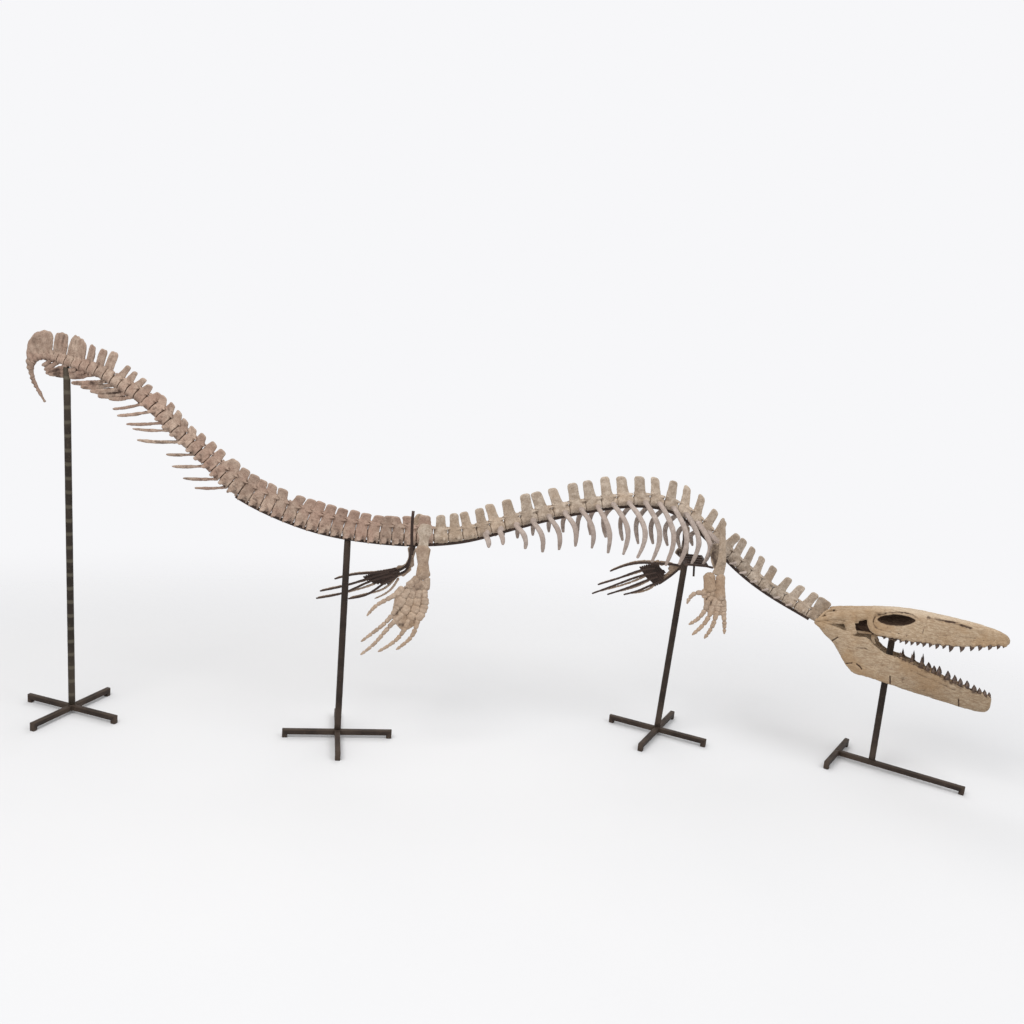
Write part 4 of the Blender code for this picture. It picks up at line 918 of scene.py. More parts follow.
# ------------------------------------------------------------------ skull
HX, HY = HEAD_XY
HC, HS = math.cos(math.radians(HEAD_YAW)), math.sin(math.radians(HEAD_YAW))
RC, RS = math.cos(math.radians(HEAD_ROLL)), math.sin(math.radians(HEAD_ROLL))


def head(u, v, z):
    """Skull point: u forward of the head rod, v to the left, z height."""
    u, v, z = np.broadcast_arrays(np.asarray(u, float), np.asarray(v, float), np.asarray(z, float))
    w, z = v * RC + (z - ROLL_Z) * RS, ROLL_Z + (z - ROLL_Z) * RC - v * RS
    return np.stack([HX + u * HC - w * HS - X0, HY + u * HS + w * HC - Y0, z], -1)


def unhead(p):
    """Skull coordinates of points."""
    x, y = p[:, 0] + X0 - HX, p[:, 1] + Y0 - HY
    u, w = x * HC + y * HS, -x * HS + y * HC
    z = p[:, 2] - ROLL_Z
    return u, w * RC - z * RS, ROLL_Z + w * RS + z * RC


HU = head(1, 0, 0.7) - head(0, 0, 0.7)
HV = head(0, 1, 0.7) - head(0, 0, 0.7)
HZ = head(0, 0, 1.0) - head(0, 0, 0.0)

SKULL_ROWS = [(-0.116, 0.100, 0.846, 0.742), (-0.085, 0.106, 0.851, 0.718), (-0.04, 0.107, 0.858, 0.712), (0.000, 0.105, 0.864, 0.709),
              (0.066, 0.097, 0.869, 0.712), (0.130, 0.086, 0.870, 0.716), (0.204, 0.074, 0.868, 0.722), (0.295, 0.063, 0.864, 0.730),
              (0.370, 0.053, 0.859, 0.744), (0.430, 0.045, 0.852, 0.758), (0.480, 0.036, 0.842, 0.770), (0.512, 0.026, 0.829, 0.777),
              (0.527, 0.016, 0.817, 0.783), (0.533, 0.008, 0.806, 0.789)]


def skull_row(u):
    a = np.array(SKULL_ROWS)
    return [float(np.interp(u, a[:, 0], a[:, k])) for k in (1, 2, 3)]


def head_tube(sh, pts, ra, rb, ref=None, sides=14, count=14):
    p = smooth_path([head(*q) for q in pts], count)
    f = np.linspace(0, 1, count)
    g = np.linspace(0, 1, len(pts))
    sh.tube(p, np.interp(f, g, ra), np.interp(f, g, rb), HZ if ref is None else ref, sides)


def cranium():
    a = np.array(SKULL_ROWS)
    us = np.concatenate([np.linspace(-0.116, 0.50, 42), [0.512, 0.521, 0.528, 0.533]])
    sh = Shape()
    rings = []
    for u in us:
        w, top, bot = skull_row(u)
        h = top - bot
        half = [(0.28, 1.0, -0.004), (0.52, 0.965, 0), (0.70, 0.87, 0), (0.84, 0.70, 0), (0.94, 0.48, 0), (1.0, 0.26, 0), (1.01, 0.12, 0),
                (0.97, 0.02, 0), (0.86, 0.0, 0), (0.72, 0.05, 0), (0.45, 0.085, 0)]
        pts = [(0.0, top)] + [(w * x, bot + h * z + d * h) for x, z, d in half] + [(0.0, bot + 0.09 * h)]
        pts += [(-x, z) for x, z in reversed(pts[1:-1])]
        rings.append(head(u, [p[0] for p in pts], [p[1] for p in pts]))
    sh.loft(rings)
    v, q, t = sh.arrays()
    ob = temp_object(v, q, t)
    cutters = []
    for sg in (1, -1):
        lean = (HU * 0.987 + HZ * 0.163)
        rise = (HZ * 0.987 - HU * 0.163)
        c = Shape()
        c.blob(head(0.012, sg * 0.118, 0.805), lean * 0.098, rise * 0.0310, HV * 0.096, 32, 15, 1.75)
        cutters.append(c)
        c = Shape()
        c.blob(head(-0.004, sg * 0.1175, 0.790), lean * 0.100, rise * 0.0400, HV * 0.026, 32, 13, 1.9)
        cutters.append(c)
        c = Shape()
        c.blob(head(0.222, sg * 0.0560, 0.867), HU * 0.110 - HV * sg * 0.022, HV * 0.0090, HZ * 0.028, 22, 12)
        cutters.append(c)
    for c in cutters:
        other = temp_object(*c.arrays())
        mod = ob.modifiers.new("cut", "BOOLEAN")
        mod.operation = "DIFFERENCE"
        mod.solver = "EXACT"
        mod.object = other
        bpy.context.view_layer.update()
        deps = bpy.context.evaluated_depsgraph_get()
        me = bpy.data.meshes.new_from_object(ob.evaluated_get(deps))
        ob.modifiers.remove(mod)
        old = ob.data
        ob.data = me
        bpy.data.meshes.remove(old)
        drop(other)
    me = ob.data
    me.calc_loop_triangles()
    v = np.empty(len(me.vertices) * 3, np.float32)
    me.vertices.foreach_get("co", v)
    tri = np.empty(len(me.loop_triangles) * 3, np.int32)
    me.loop_triangles.foreach_get("vertices", tri)
    v, tri = v.reshape(-1, 3).astype(float), tri.reshape(-1, 3)
    drop(ob)

    sh = Shape()
    # gum ridge over each upper tooth
    for sg in (1, -1):
        for k in range(13):
            u = -0.035 + 0.545 * k / 12
            w, top, bot = skull_row(u)
            sh.blob(head(u, sg * 0.90 * w, bot + 0.010), HU * 0.0155, HV * min(0.012, 0.26 * w + 0.004), HZ * 0.0155, 12, 8)
        # cheek arch under the orbit and bar behind it
        head_tube(sh, [(-0.103, sg * 0.094, 0.822), (-0.112, sg * 0.105, 0.785), (-0.103, sg * 0.109, 0.752), (-0.082, sg * 0.109, 0.734),
                       (-0.045, sg * 0.107, 0.728), (0.01, sg * 0.103, 0.728), (0.06, sg * 0.096, 0.733)],
                  [0.010, 0.010, 0.010, 0.010, 0.010, 0.009, 0.006], [0.016, 0.015, 0.0150, 0.0145, 0.0145, 0.014, 0.010], HV, count=22)
        head_tube(sh, [(-0.075, sg * 0.080, 0.828), (-0.135, sg * 0.100, 0.801), (-0.187, sg * 0.110, 0.780), (-0.262, sg * 0.119, 0.768),
                       (-0.325, sg * 0.126, 0.747), (-0.366, sg * 0.129, 0.731)],
                  [0.015, 0.0230, 0.0225, 0.0185, 0.0135, 0.0080], [0.012, 0.011, 0.0095, 0.0090, 0.0085, 0.0060], count=22)
        # second, lower strip of the squamosal and the wing of the parietal
        head_tube(sh, [(-0.165, sg * 0.104, 0.757), (-0.235, sg * 0.113, 0.748), (-0.300, sg * 0.120, 0.735), (-0.345, sg * 0.124, 0.727)],
                  [0.004, 0.0130, 0.0140, 0.0100], [0.006, 0.007, 0.0065, 0.006])
        # slope between the roof bar and the squamosal
        head_tube(sh, [(-0.060, sg * 0.082, 0.830), (-0.130, sg * 0.082, 0.822), (-0.200, sg * 0.086, 0.804), (-0.265, sg * 0.096, 0.786), (-0.320, sg * 0.108, 0.768)],
                  [0.012, 0.013, 0.013, 0.012, 0.010], [0.020, 0.024, 0.026, 0.022, 0.016], count=20)
        head_tube(sh, [(-0.060, sg * 0.050, 0.842), (-0.140, sg * 0.048, 0.826), (-0.220, sg * 0.048, 0.808), (-0.285, sg * 0.056, 0.794)],
                  [0.010, 0.010, 0.010, 0.009], [0.028, 0.028, 0.026, 0.022], count=20)
        head_tube(sh, [(-0.270, sg * 0.016, 0.800), (-0.315, sg * 0.055, 0.782), (-0.350, sg * 0.112, 0.744)],
                  [0.015, 0.014, 0.010], [0.010, 0.009, 0.008])
        # quadrate: broad head, waist, broad foot
        head_tube(sh, [(-0.212, sg * 0.110, 0.764), (-0.203, sg * 0.117, 0.744), (-0.195, sg * 0.118, 0.722), (-0.188, sg * 0.118, 0.700)],
                  [0.012, 0.010, 0.010, 0.012], [0.034, 0.028, 0.026, 0.032], HV)
        # inner wall between roof bar and palate
        head_tube(sh, [(-0.07, sg * 0.060, 0.748), (-0.14, sg * 0.062, 0.744), (-0.22, sg * 0.074, 0.742), (-0.285, sg * 0.088, 0.744)],
                  [0.036, 0.034, 0.030, 0.018], [0.006, 0.006, 0.006, 0.006], count=18)
        # palate bars
        head_tube(sh, [(0.06, sg * 0.040, 0.722), (-0.04, sg * 0.062, 0.716), (-0.12, sg * 0.072, 0.712), (-0.20, sg * 0.090, 0.706)],
                  [0.008, 0.009, 0.009, 0.008], [0.014, 0.016, 0.014, 0.010])
        head_tube(sh, [(-0.075, sg * 0.070, 0.716), (-0.085, sg * 0.085, 0.690), (-0.07, sg * 0.088, 0.668)], [0.008, 0.008, 0.005], [0.014, 0.011, 0.007], HV)
    # roof bar, brain case and joint ball
    head_tube(sh, [(-0.07, 0, 0.832), (-0.13, 0, 0.824), (-0.20, 0, 0.812), (-0.265, 0, 0.800), (-0.312, 0, 0.790)],
              [0.020, 0.018, 0.017, 0.017, 0.014], [0.062, 0.034, 0.024, 0.028, 0.042], count=18)
    head_tube(sh, [(-0.06, 0, 0.770), (-0.13, 0, 0.768), (-0.21, 0, 0.766), (-0.285, 0, 0.764), (-0.318, 0, 0.763)],
              [0.046, 0.042, 0.036, 0.034, 0.024], [0.055, 0.038, 0.032, 0.036, 0.024], count=18)
    sh.blob(head(-0.330, 0, 0.762), HU * 0.016, HV * 0.018, HZ * 0.016, 14, 8)
    v2, q2, t2 = sh.arrays()
    return np.concatenate([v, v2]), q2 + len(v), np.concatenate([tri, t2 + len(v)])


def near_line(u, z, line):
    """Distance of points to a line drawn in the side view."""
    best = np.full(len(u), 9.0)
    for (a, b), (c, d) in zip(line[:-1], line[1:]):
        t = np.clip(((u - a) * (c - a) + (z - b) * (d - b)) / ((c - a) ** 2 + (d - b) ** 2), 0, 1)
        best = np.minimum(best, np.hypot(u - a - t * (c - a), z - b - t * (d - b)))
    return best


SKULL_SEAMS = [[(0.455, 0.768), (0.425, 0.800), (0.390, 0.826)], [(0.155, 0.735), (0.140, 0.768), (0.142, 0.800)],
               [(0.20, 0.742), (0.235, 0.775), (0.30, 0.800)], [(0.20, 0.770), (0.30, 0.782), (0.38, 0.790)],
               [(-0.10, 0.858), (0.0, 0.848), (0.08, 0.846)]]
JAW_SEAMS = [[(-0.278, 0.636), (-0.262, 0.652), (-0.246, 0.668)], [(-0.196, 0.541), (-0.178, 0.548), (-0.158, 0.556)],
             [(-0.135, 0.556), (-0.118, 0.544), (-0.108, 0.534)], [(0.028, 0.526), (0.033, 0.500), (0.036, 0.470)],
             [(0.352, 0.482), (0.358, 0.460), (0.361, 0.430)]]
JAW_LINES = [[(-0.10, 0.560), (-0.02, 0.572), (0.03, 0.566)], [(0.12, 0.574), (0.20, 0.555), (0.33, 0.520)],
             [(-0.25, 0.640), (-0.18, 0.628), (-0.11, 0.640), (-0.06, 0.622)]]


def sculpt_head(v, q, t, seams, lines, wide=0.0024, deep=0.0032):
    """Sink seams and cracks into the surface; returns the points and how dark the seams and cracks are painted."""
    n = normals(v, q, t)
    u, w, z = unhead(v)
    side = np.abs(n @ HV) > 0.35
    dark = np.zeros(len(v))
    wob = 0.0025 * noise(v * 60, 3)
    for line in seams:
        d = near_line(u, z + wob, line)
        f = np.exp(-(d / wide) ** 2) * side
        v = v - n * (deep * f)[:, None]
        dark = np.maximum(dark, 0.95 * f * (0.8 + 0.4 * noise(v * 80, 6)))
    for line in lines:
        d = near_line(u, z + wob, line)
        f = np.exp(-(d / (0.8 * wide)) ** 2) * side
        v = v - n * (0.30 * deep * f)[:, None]
        dark = np.maximum(dark, 0.30 * f * (0.7 + 0.8 * noise(v * 40, 8)))
    return v, dark


v, q, t = skinned(*cranium(), 0.0031)
link = links(q, t, len(v))
for _ in range(3):
    v = v + 0.5 * (average(v, link) - v)
v, dark = sculpt_head(v, q, t, [], SKULL_SEAMS, 0.0026, 0.0030)
u, w, z = unhead(v)
# painted shade inside the orbit: the hollow behind its rim is darker
flank = np.interp(u, [-0.1, 0, 0.1, 0.2], [0.106, 0.105, 0.091, 0.074])
inside = ((u - 0.012) / 0.105) ** 2 + ((z - 0.800 - 0.16 * u) / 0.046) ** 2
deep = np.clip((flank - 0.012 - np.abs(w)) / 0.030, 0, 1) * (inside < 1.0)
dark = np.maximum(dark, 1.35 * deep)
# temple: everything behind the outer bars gets painted shade
dark = np.maximum(dark, 1.1 * np.clip((0.094 - np.abs(w)) / 0.020, 0, 1) * (u < -0.085) * (z < 0.792) * (u > -0.30))
# narrow nostril along the edge of the snout, painted dark as shade in its opening, and painted shade along the gum line
# above the upper teeth
nose = near_line(u, z, [(0.150, 0.846), (0.225, 0.8445), (0.295, 0.841), (0.350, 0.833)])
dark = np.maximum(dark, 1.15 * np.exp(-(nose / 0.0072) ** 2) * (0.85 + 0.4 * noise(v * 45, 4)))
gum = np.interp(u, [r[0] for r in SKULL_ROWS], [r[3] for r in SKULL_ROWS])
dark = np.maximum(dark, (0.78 + 0.5 * noise(v * 60, 12)) * np.clip(1 - (z - gum) / 0.013, 0, 1) * (u > -0.05))
dark = dark + 0.30 * np.clip(noise(v * 26, 41), 0, 1) * (z < 0.835)
# small openings above the teeth, painted as dark spots of shade
for k in range(11):
    for sg in (1, -1):
        uu = 0.03 + 0.043 * k
        ww, top, bot = skull_row(uu)
        d = np.hypot(u - uu - 0.004 * hashed(k, 9), z - bot - 0.030 - 0.004 * hashed(k, 11)) + 9 * (np.sign(w) != sg)
        dark = np.maximum(dark, 0.9 * np.exp(-(d / 0.0028) ** 2))
piece = Piece("skull", SKULLM, "skull_bone", ["skull"])
# painted shade on the skull's downward faces
piece.add(v, q, t, smooth=0, amount=1.3, seed=77, tint=0.6 * noise(v * 9, 31) + np.clip((z - 0.828) / 0.030, 0, 1) * 2.2 + 0.1,
          extra=lambda a, n, d=dark: d - 0.10 + 0.30 * np.clip(-n[:, 2], 0, 1))
piece.build()

# jaws: u, top edge, bottom edge, middle v, half thickness
JAW_ROWS = [(-0.374, 0.728, 0.712, 0.122, 0.006), (-0.340, 0.727, 0.692, 0.123, 0.010), (-0.314, 0.725, 0.668, 0.124, 0.013),
            (-0.269, 0.720, 0.636, 0.124, 0.016), (-0.243, 0.716, 0.606, 0.123, 0.017), (-0.217, 0.707, 0.572, 0.122, 0.018),
            (-0.191, 0.696, 0.540, 0.120, 0.018), (-0.165, 0.690, 0.514, 0.118, 0.018), (-0.140, 0.692, 0.502, 0.115, 0.018),
            (-0.118, 0.697, 0.500, 0.112, 0.018), (-0.100, 0.689, 0.499, 0.110, 0.018), (-0.080, 0.672, 0.498, 0.108, 0.018),
            (-0.050, 0.652, 0.495, 0.104, 0.018), (-0.030, 0.641, 0.492, 0.101, 0.018), (-0.012, 0.633, 0.489, 0.099, 0.018),
            (0.004, 0.631, 0.487, 0.096, 0.018), (0.044, 0.628, 0.482, 0.090, 0.018), (0.083, 0.619, 0.475, 0.083, 0.018),
            (0.131, 0.606, 0.468, 0.074, 0.018), (0.180, 0.592, 0.462, 0.066, 0.0175), (0.229, 0.578, 0.457, 0.058, 0.017),
            (0.277, 0.564, 0.452, 0.050, 0.0165), (0.326, 0.551, 0.446, 0.043, 0.016), (0.373, 0.540, 0.440, 0.037, 0.015),
            (0.420, 0.530, 0.437, 0.030, 0.0135), (0.450, 0.524, 0.437, 0.026, 0.0125), (0.478, 0.519, 0.441, 0.021, 0.0110),
            (0.492, 0.517, 0.451, 0.019, 0.0095), (0.498, 0.513, 0.466, 0.018, 0.0070)]


def jaw_row(u):
    a = np.array(JAW_ROWS)
    return [float(np.interp(u, a[:, 0], a[:, k])) for k in (1, 2, 3, 4)]


for sg, name in ((1, "jaw_left"), (-1, "jaw_right")):
    sh = Shape()
    rings = []
    for u in np.concatenate([np.linspace(-0.374, 0.478, 60), [0.486, 0.493, 0.498]]):
        top, bot, vm, th = jaw_row(u)
        h = top - bot
        pts = [(0.25, 1.0), (0.70, 0.965), (0.95, 0.84), (1.05, 0.62), (1.0, 0.38), (0.85, 0.17), (0.45, 0.03), (0.0, 0.0),
               (-0.45, 0.05), (-0.80, 0.20), (-0.72, 0.42), (-0.50, 0.55), (-0.66, 0.72), (-0.70, 0.88), (-0.35, 0.985)]
        rings.append(head(u, [sg * (vm + th * x) for x, z in pts], [bot + h * z for x, z in pts]))
    sh.loft(rings)
    for k, u in enumerate([0.058, 0.112, 0.158, 0.198, 0.241, 0.285, 0.328, 0.372, 0.414, 0.452, 0.482]):
        top, bot, vm, th = jaw_row(u)
        sh.blob(head(u, sg * vm, top - 0.004), HU * 0.014, HV * 0.010, HZ * 0.011, 12, 8)
    # joint cup under the quadrate
    sh.blob(head(-0.212, sg * 0.119, 0.694), HU * 0.034, HV * 0.018, HZ * 0.016, 14, 8)
    v, q, t = skinned(*sh.arrays(), 0.0031)
    link = links(q, t, len(v))
    for _ in range(2):
        v = v + 0.5 * (average(v, link) - v)
    v, dark = sculpt_head(v, q, t, JAW_SEAMS, JAW_LINES, 0.0034, 0.0036)
    u, w, z = unhead(v)
    # painted shade along the top edge of the jaw under the teeth
    edge = np.interp(u, [r[0] for r in JAW_ROWS], [r[1] for r in JAW_ROWS])
    dark = np.maximum(dark, (0.85 + 0.5 * noise(v * 60, 12)) * np.clip(1 - (edge - z) / 0.016, 0, 1) * (u > 0.03))
    dark = dark + 0.35 * np.clip(noise(v * 24, 43), 0, 1) + 0.25 * np.clip(noise(v * np.array([60, 60, 9.0]), 44), 0, 1) * (u > 0.02)
    piece = Piece(name, SKULLM, "skull_bone", [name])
    # painted shade on the jaw's downward faces
    piece.add(v, q, t, smooth=0, amount=1.3, seed=90 + sg, tint=0.6 * noise(v * 9, 33) - 0.7 - 1.3 * np.clip((u - 0.02) / 0.15, 0, 1),
              extra=lambda a, n, d=dark: d - 0.10 + 0.25 * np.clip(-n[:, 2], 0, 1))
    piece.build()


def tooth(sh, base, tip, back, r, sides=14):
    """Slightly recurved cone with a swollen foot."""
    base, tip = np.array(base), np.array(tip)
    f = np.linspace(0, 1, 9)
    pts = base + np.outer(f, tip - base) + np.outer(0.16 * np.sin(math.pi * f * 0.9), back)
    rad = r * np.array([0.88, 1.0, 0.97, 0.88, 0.76, 0.61, 0.44, 0.26, 0.10])
    sh.tube(pts, rad * 0.80, rad, HV, sides)


piece = Piece("upper_teeth", TOOTH, "skull_bone", [])
for sg in (1, -1):
    for k, (u, ln, rad) in enumerate([(-0.030, 0.012, 0.0080), (-0.004, 0.013, 0.0085), (0.022, 0.014, 0.0085), (0.048, 0.014, 0.0085), (0.074, 0.016, 0.0090),
                                      (0.100, 0.018, 0.0095), (0.127, 0.016, 0.0095), (0.155, 0.020, 0.0100), (0.185, 0.017, 0.0100), (0.215, 0.022, 0.0105),
                                      (0.246, 0.018, 0.0100), (0.279, 0.028, 0.0125), (0.328, 0.027, 0.0125), (0.371, 0.022, 0.0115),
                                      (0.407, 0.020, 0.0110), (0.449, 0.018, 0.0105), (0.486, 0.014, 0.0090), (0.510, 0.011, 0.0070)]):
        w, top, bot = skull_row(u)
        ln = ln + 0.0015 * hashed(k, 2)
        vv = sg * 0.90 * w
        sh = Shape()
        base, tip = head(u, vv, bot + 0.004), head(u - 0.004, vv * 1.02, bot - ln)
        tooth(sh, base, tip, HU * 0.008, rad)
        piece.shell(sh, amount=0.5, seed=k)
piece.build()
piece = Piece("lower_teeth", TOOTH, "skull_bone", [])
for sg in (1, -1):
    for k, (u, ln, rad) in enumerate([(0.058, 0.030, 0.0070), (0.112, 0.046, 0.0075), (0.158, 0.052, 0.0080), (0.190, 0.026, 0.0130), (0.218, 0.024, 0.0115),
                                      (0.243, 0.034, 0.0135), (0.286, 0.032, 0.0140), (0.320, 0.029, 0.0125), (0.348, 0.026, 0.0125), (0.380, 0.029, 0.0130),
                                      (0.414, 0.024, 0.0125), (0.440, 0.021, 0.0110), (0.464, 0.022, 0.0115), (0.486, 0.018, 0.0085)]):
        top, bot, vm, th = jaw_row(u)
        sh = Shape()
        tooth(sh, head(u, sg * vm, top - 0.003), head(u - 0.004, sg * (vm + 0.002), top + ln), HU * 0.008, rad)
        piece.shell(sh, amount=0.6, seed=k + 30)
piece.build()


# ------------------------------------------------------------------ limbs
class Limb:
    """Flat working plane of a limb: a runs to the tail, b runs down."""

    def __init__(self, root, back, flare):
        self.root = np.array(root) - OFF
        n = np.array([-back, 1.0, -flare])
        self.n = n / np.linalg.norm(n)
        e = np.array([-1.0, -back, 0.0])
        self.e1 = e / np.linalg.norm(e)
        f = np.cross(self.n, self.e1)
        self.e2 = -f if f[2] > 0 else f

    def at(self, a, b, off=0.0):
        return self.root + (self.e1 * a + self.e2 * b) / 1000.0 + self.n * off


HIND_R = Limb((-0.406, 5.022, 1.030), 0.10, 0.22)
HIND_L = Limb((-0.483, 5.247, 0.962), -0.25, -0.25)
FORE_R = Limb((1.017, 5.332, 0.942), 0.05, 0.15)
FORE_L = Limb((0.928, 5.612, 0.912), -0.30, -0.20)


def long_bone(piece, limb, pts, radii, flat, off, seed):
    """Bone with broad ends and a narrow shaft."""
    p = smooth_path([limb.at(a, b, off) for a, b in pts], 20)
    f = np.linspace(0, 1, 20)
    r = np.interp(f, [0.0, 0.06, 0.22, 0.5, 0.78, 0.94, 1.0],
                  [0.82 * radii[0], radii[0], 0.5 * (radii[0] + radii[1]), radii[1], 0.5 * (radii[1] + radii[2]), radii[2], 0.84 * radii[2]])
    th = flat * (0.45 * r + 0.55 * r.min() * 1.15)
    sh = Shape()
    sh.tube(p, th, r, limb.n, 22, 2.3)
    sh.blob(p[1], limb.n * th[1] * 1.05, limb.e1 * r[1] * 0.8, limb.e2 * 0.012, 14, 8)
    sh.blob(p[-2], limb.n * th[-2] * 1.05, limb.e1 * r[-2] * 0.8, limb.e2 * 0.012, 14, 8)
    # painted shade on downward faces
    piece.skin(sh, 0.0024, tint=hashed(seed, 4), seed=seed, extra=lambda v, n: 0.15 * np.clip(-n[:, 2], 0, 1) - 0.05)


def phalanges(piece, limb, points, count, r0, r1, off, flat, seed, gap=0.0009):
    """A finger: a row of small waisted bones, one behind the other."""
    path = resample(smooth_path([limb.at(a, b, off) for a, b in points], 60), 400)
    total = np.linalg.norm(np.diff(path, axis=0), axis=1).sum()
    w = np.linspace(1.25, 0.75, count)
    edge = np.concatenate([[0], np.cumsum(w)]) / w.sum()
    for k in range(count):
        ra, rb = r0 + (r1 - r0) * edge[k], r0 + (r1 - r0) * edge[k + 1]
        cap = 0.75 * rb * flat
        i0 = int(399 * (edge[k] + (gap / 2 + 0.7 * ra * flat) / total))
        i1 = int(399 * (edge[k + 1] - (gap / 2 + cap) / total))
        if i1 - i0 < 3:
            i0, i1 = int(399 * edge[k]) + 1, int(399 * edge[k + 1]) - 1
        pts = resample(path[i0:i1 + 1], 9)
        f = np.linspace(0, 1, 9)
        base = ra + (rb - ra) * f
        r = base * np.interp(f, [0, 0.10, 0.5, 0.90, 1], [0.94, 1.01, 0.85, 0.98, 0.91])
        if k == count - 1:
            r = base * np.interp(f, [0, 0.12, 0.5, 1], [0.94, 1.0, 0.78, 0.50])
        sh = Shape()
        sh.tube(pts, r * flat, r, limb.n, 14, 2.2)
        # painted shade on downward faces
        piece.shell(sh, tint=hashed(seed * 9 + k, 7), seed=seed * 9 + k, lumps=0.5,
                    extra=lambda v, n: 0.15 * np.clip(-n[:, 2], 0, 1) - 0.05)


def block(piece, limb, a, b, off, wide, thick, seed, gap=0.0008):
    """Flat many-sided wrist or palm bone between two points."""
    p, q = limb.at(*a, off), limb.at(*b, off)
    ln = np.linalg.norm(q - p)
    d = (q - p) / ln
    half = 0.5 * ln - gap - 0.40 * thick
    mid = 0.5 * (p + q)
    f = np.linspace(-1, 1, 9)
    pts = mid + np.outer(f * half, d)
    r = wide * np.interp(np.abs(f), [0, 0.5, 0.85, 1], [0.90, 0.95, 1.0, 0.88]) * (1 + 0.05 * hashed(seed, 12) * f)
    sh = Shape()
    sh.tube(pts, thick * np.interp(np.abs(f), [0, 0.8, 1], [0.9, 1.0, 0.85]), r, limb.n, 18, 2.9)
    # painted shade on downward faces
    piece.shell(sh, tint=hashed(seed, 8), seed=seed, extra=lambda v, n: 0.15 * np.clip(-n[:, 2], 0, 1) - 0.02)


def palm_plate(piece, limb, outline, thick):
    """Dried tissue and filler between the wrist bones."""
    pts = np.array(outline, float)
    n = len(pts)
    fine = np.concatenate([[pts[i] + (pts[(i + 1) % n] - pts[i]) * f for f in (0, 0.34, 0.67)] for i in range(n)])
    for _ in range(2):
        fine = 0.5 * fine + 0.25 * (np.roll(fine, 1, 0) + np.roll(fine, -1, 0))
    c = fine.mean(0)
    sh = Shape()
    sh.loft([[limb.at(*(c + (p - c) * k), z) for p in fine] for z, k in ((-thick, 0.93), (-0.6 * thick, 1.0), (0.6 * thick, 1.0), (thick, 0.93))])
    piece.skin(sh, 0.0034, tint=-0.6, seed=71, lumps=1.8, extra=lambda v, n: 0.16 + 0.55 * noise(v * 60, 5))


def paddle(name, limb, long_bones, columns, digits, counts, r0, r1, wide, thick, backed=False, flat=0.8, seed=0, pebbles=(), palm=None):
    piece = Piece(name, LIMB, "trunk_bone", [name])
    if palm:
        palm_plate(piece, limb, palm, 0.42 * thick)
    for k, (pts, radii, fl) in enumerate(long_bones):
        off = max(radii) * fl + 0.0002 if backed else 0.0
        long_bone(piece, limb, pts, radii, fl, off, seed + k)
    m = seed * 3
    spots = [(k, 0.5 * (np.array(a, float) + np.array(b, float))) for k, col in enumerate(columns) for a, b in zip(col[:-1], col[1:])]
    for k, col in enumerate(columns):
        for a, b in zip(col[:-1], col[1:]):
            m += 1
            mid = 0.5 * (np.array(a, float) + np.array(b, float))
            near = sorted(np.linalg.norm(mid - q) / 1000 for j, q in spots if j != k)
            w = min(wide * 1.6, 0.52 * near[0]) if near else wide
            block(piece, limb, a, b, thick + 0.001 if backed else 0.0, w * (1 + 0.03 * hashed(m, 2)), thick, m)
    for k, (a, b, r) in enumerate(pebbles):
        sh = Shape()
        sh.blob(limb.at(a, b, thick + 0.001 if backed else 0.0), limb.e1 * r / 1000, limb.e2 * r / 1000, limb.n * thick, 18, 9, 2.6)
        piece.shell(sh, tint=hashed(k + seed, 5), seed=k + seed)
    for k, d in enumerate(digits):
        off = r0 * 0.8 + 0.0004 if backed else 0.0
        phalanges(piece, limb, d, counts[k], r0, r1, off, flat, seed * 7 + k)
    piece.build()


paddle("hind_paddle_right", HIND_R,
       [([(0, 4), (-4, 66), (-10, 142)], [0.038, 0.026, 0.036], 0.5),
        ([(-26, 150), (-32, 172), (-26, 196)], [0.018, 0.014, 0.019], 0.6),
        ([(18, 150), (38, 170), (54, 190)], [0.020, 0.016, 0.022], 0.6)],
       [[(84, 198), (114, 234)], [(56, 206), (78, 246), (100, 286)], [(30, 214), (40, 248), (52, 284), (72, 320)],
        [(2, 208), (8, 244), (12, 280), (22, 314), (42, 346)], [(-22, 204), (-26, 240), (-27, 274), (-18, 312), (2, 346)]],
       [[(112, 232), (158, 261), (203, 292), (244, 344)], [(99, 286), (142, 355), (199, 411), (264, 466)],
        [(72, 320), (139, 393), (200, 472), (262, 528)], [(42, 346), (89, 438), (134, 478), (181, 509)],
        [(2, 346), (24, 424), (59, 464), (97, 495)]], [4, 6, 7, 6, 5], 0.0140, 0.0070, 0.0165, 0.0115, seed=3,
       palm=[(-36, 206), (-32, 172), (-4, 154), (30, 160), (62, 180), (78, 190), (116, 226), (122, 284), (130, 336), (108, 372), (76, 402), (44, 398), (10, 372), (-22, 326), (-36, 262)])
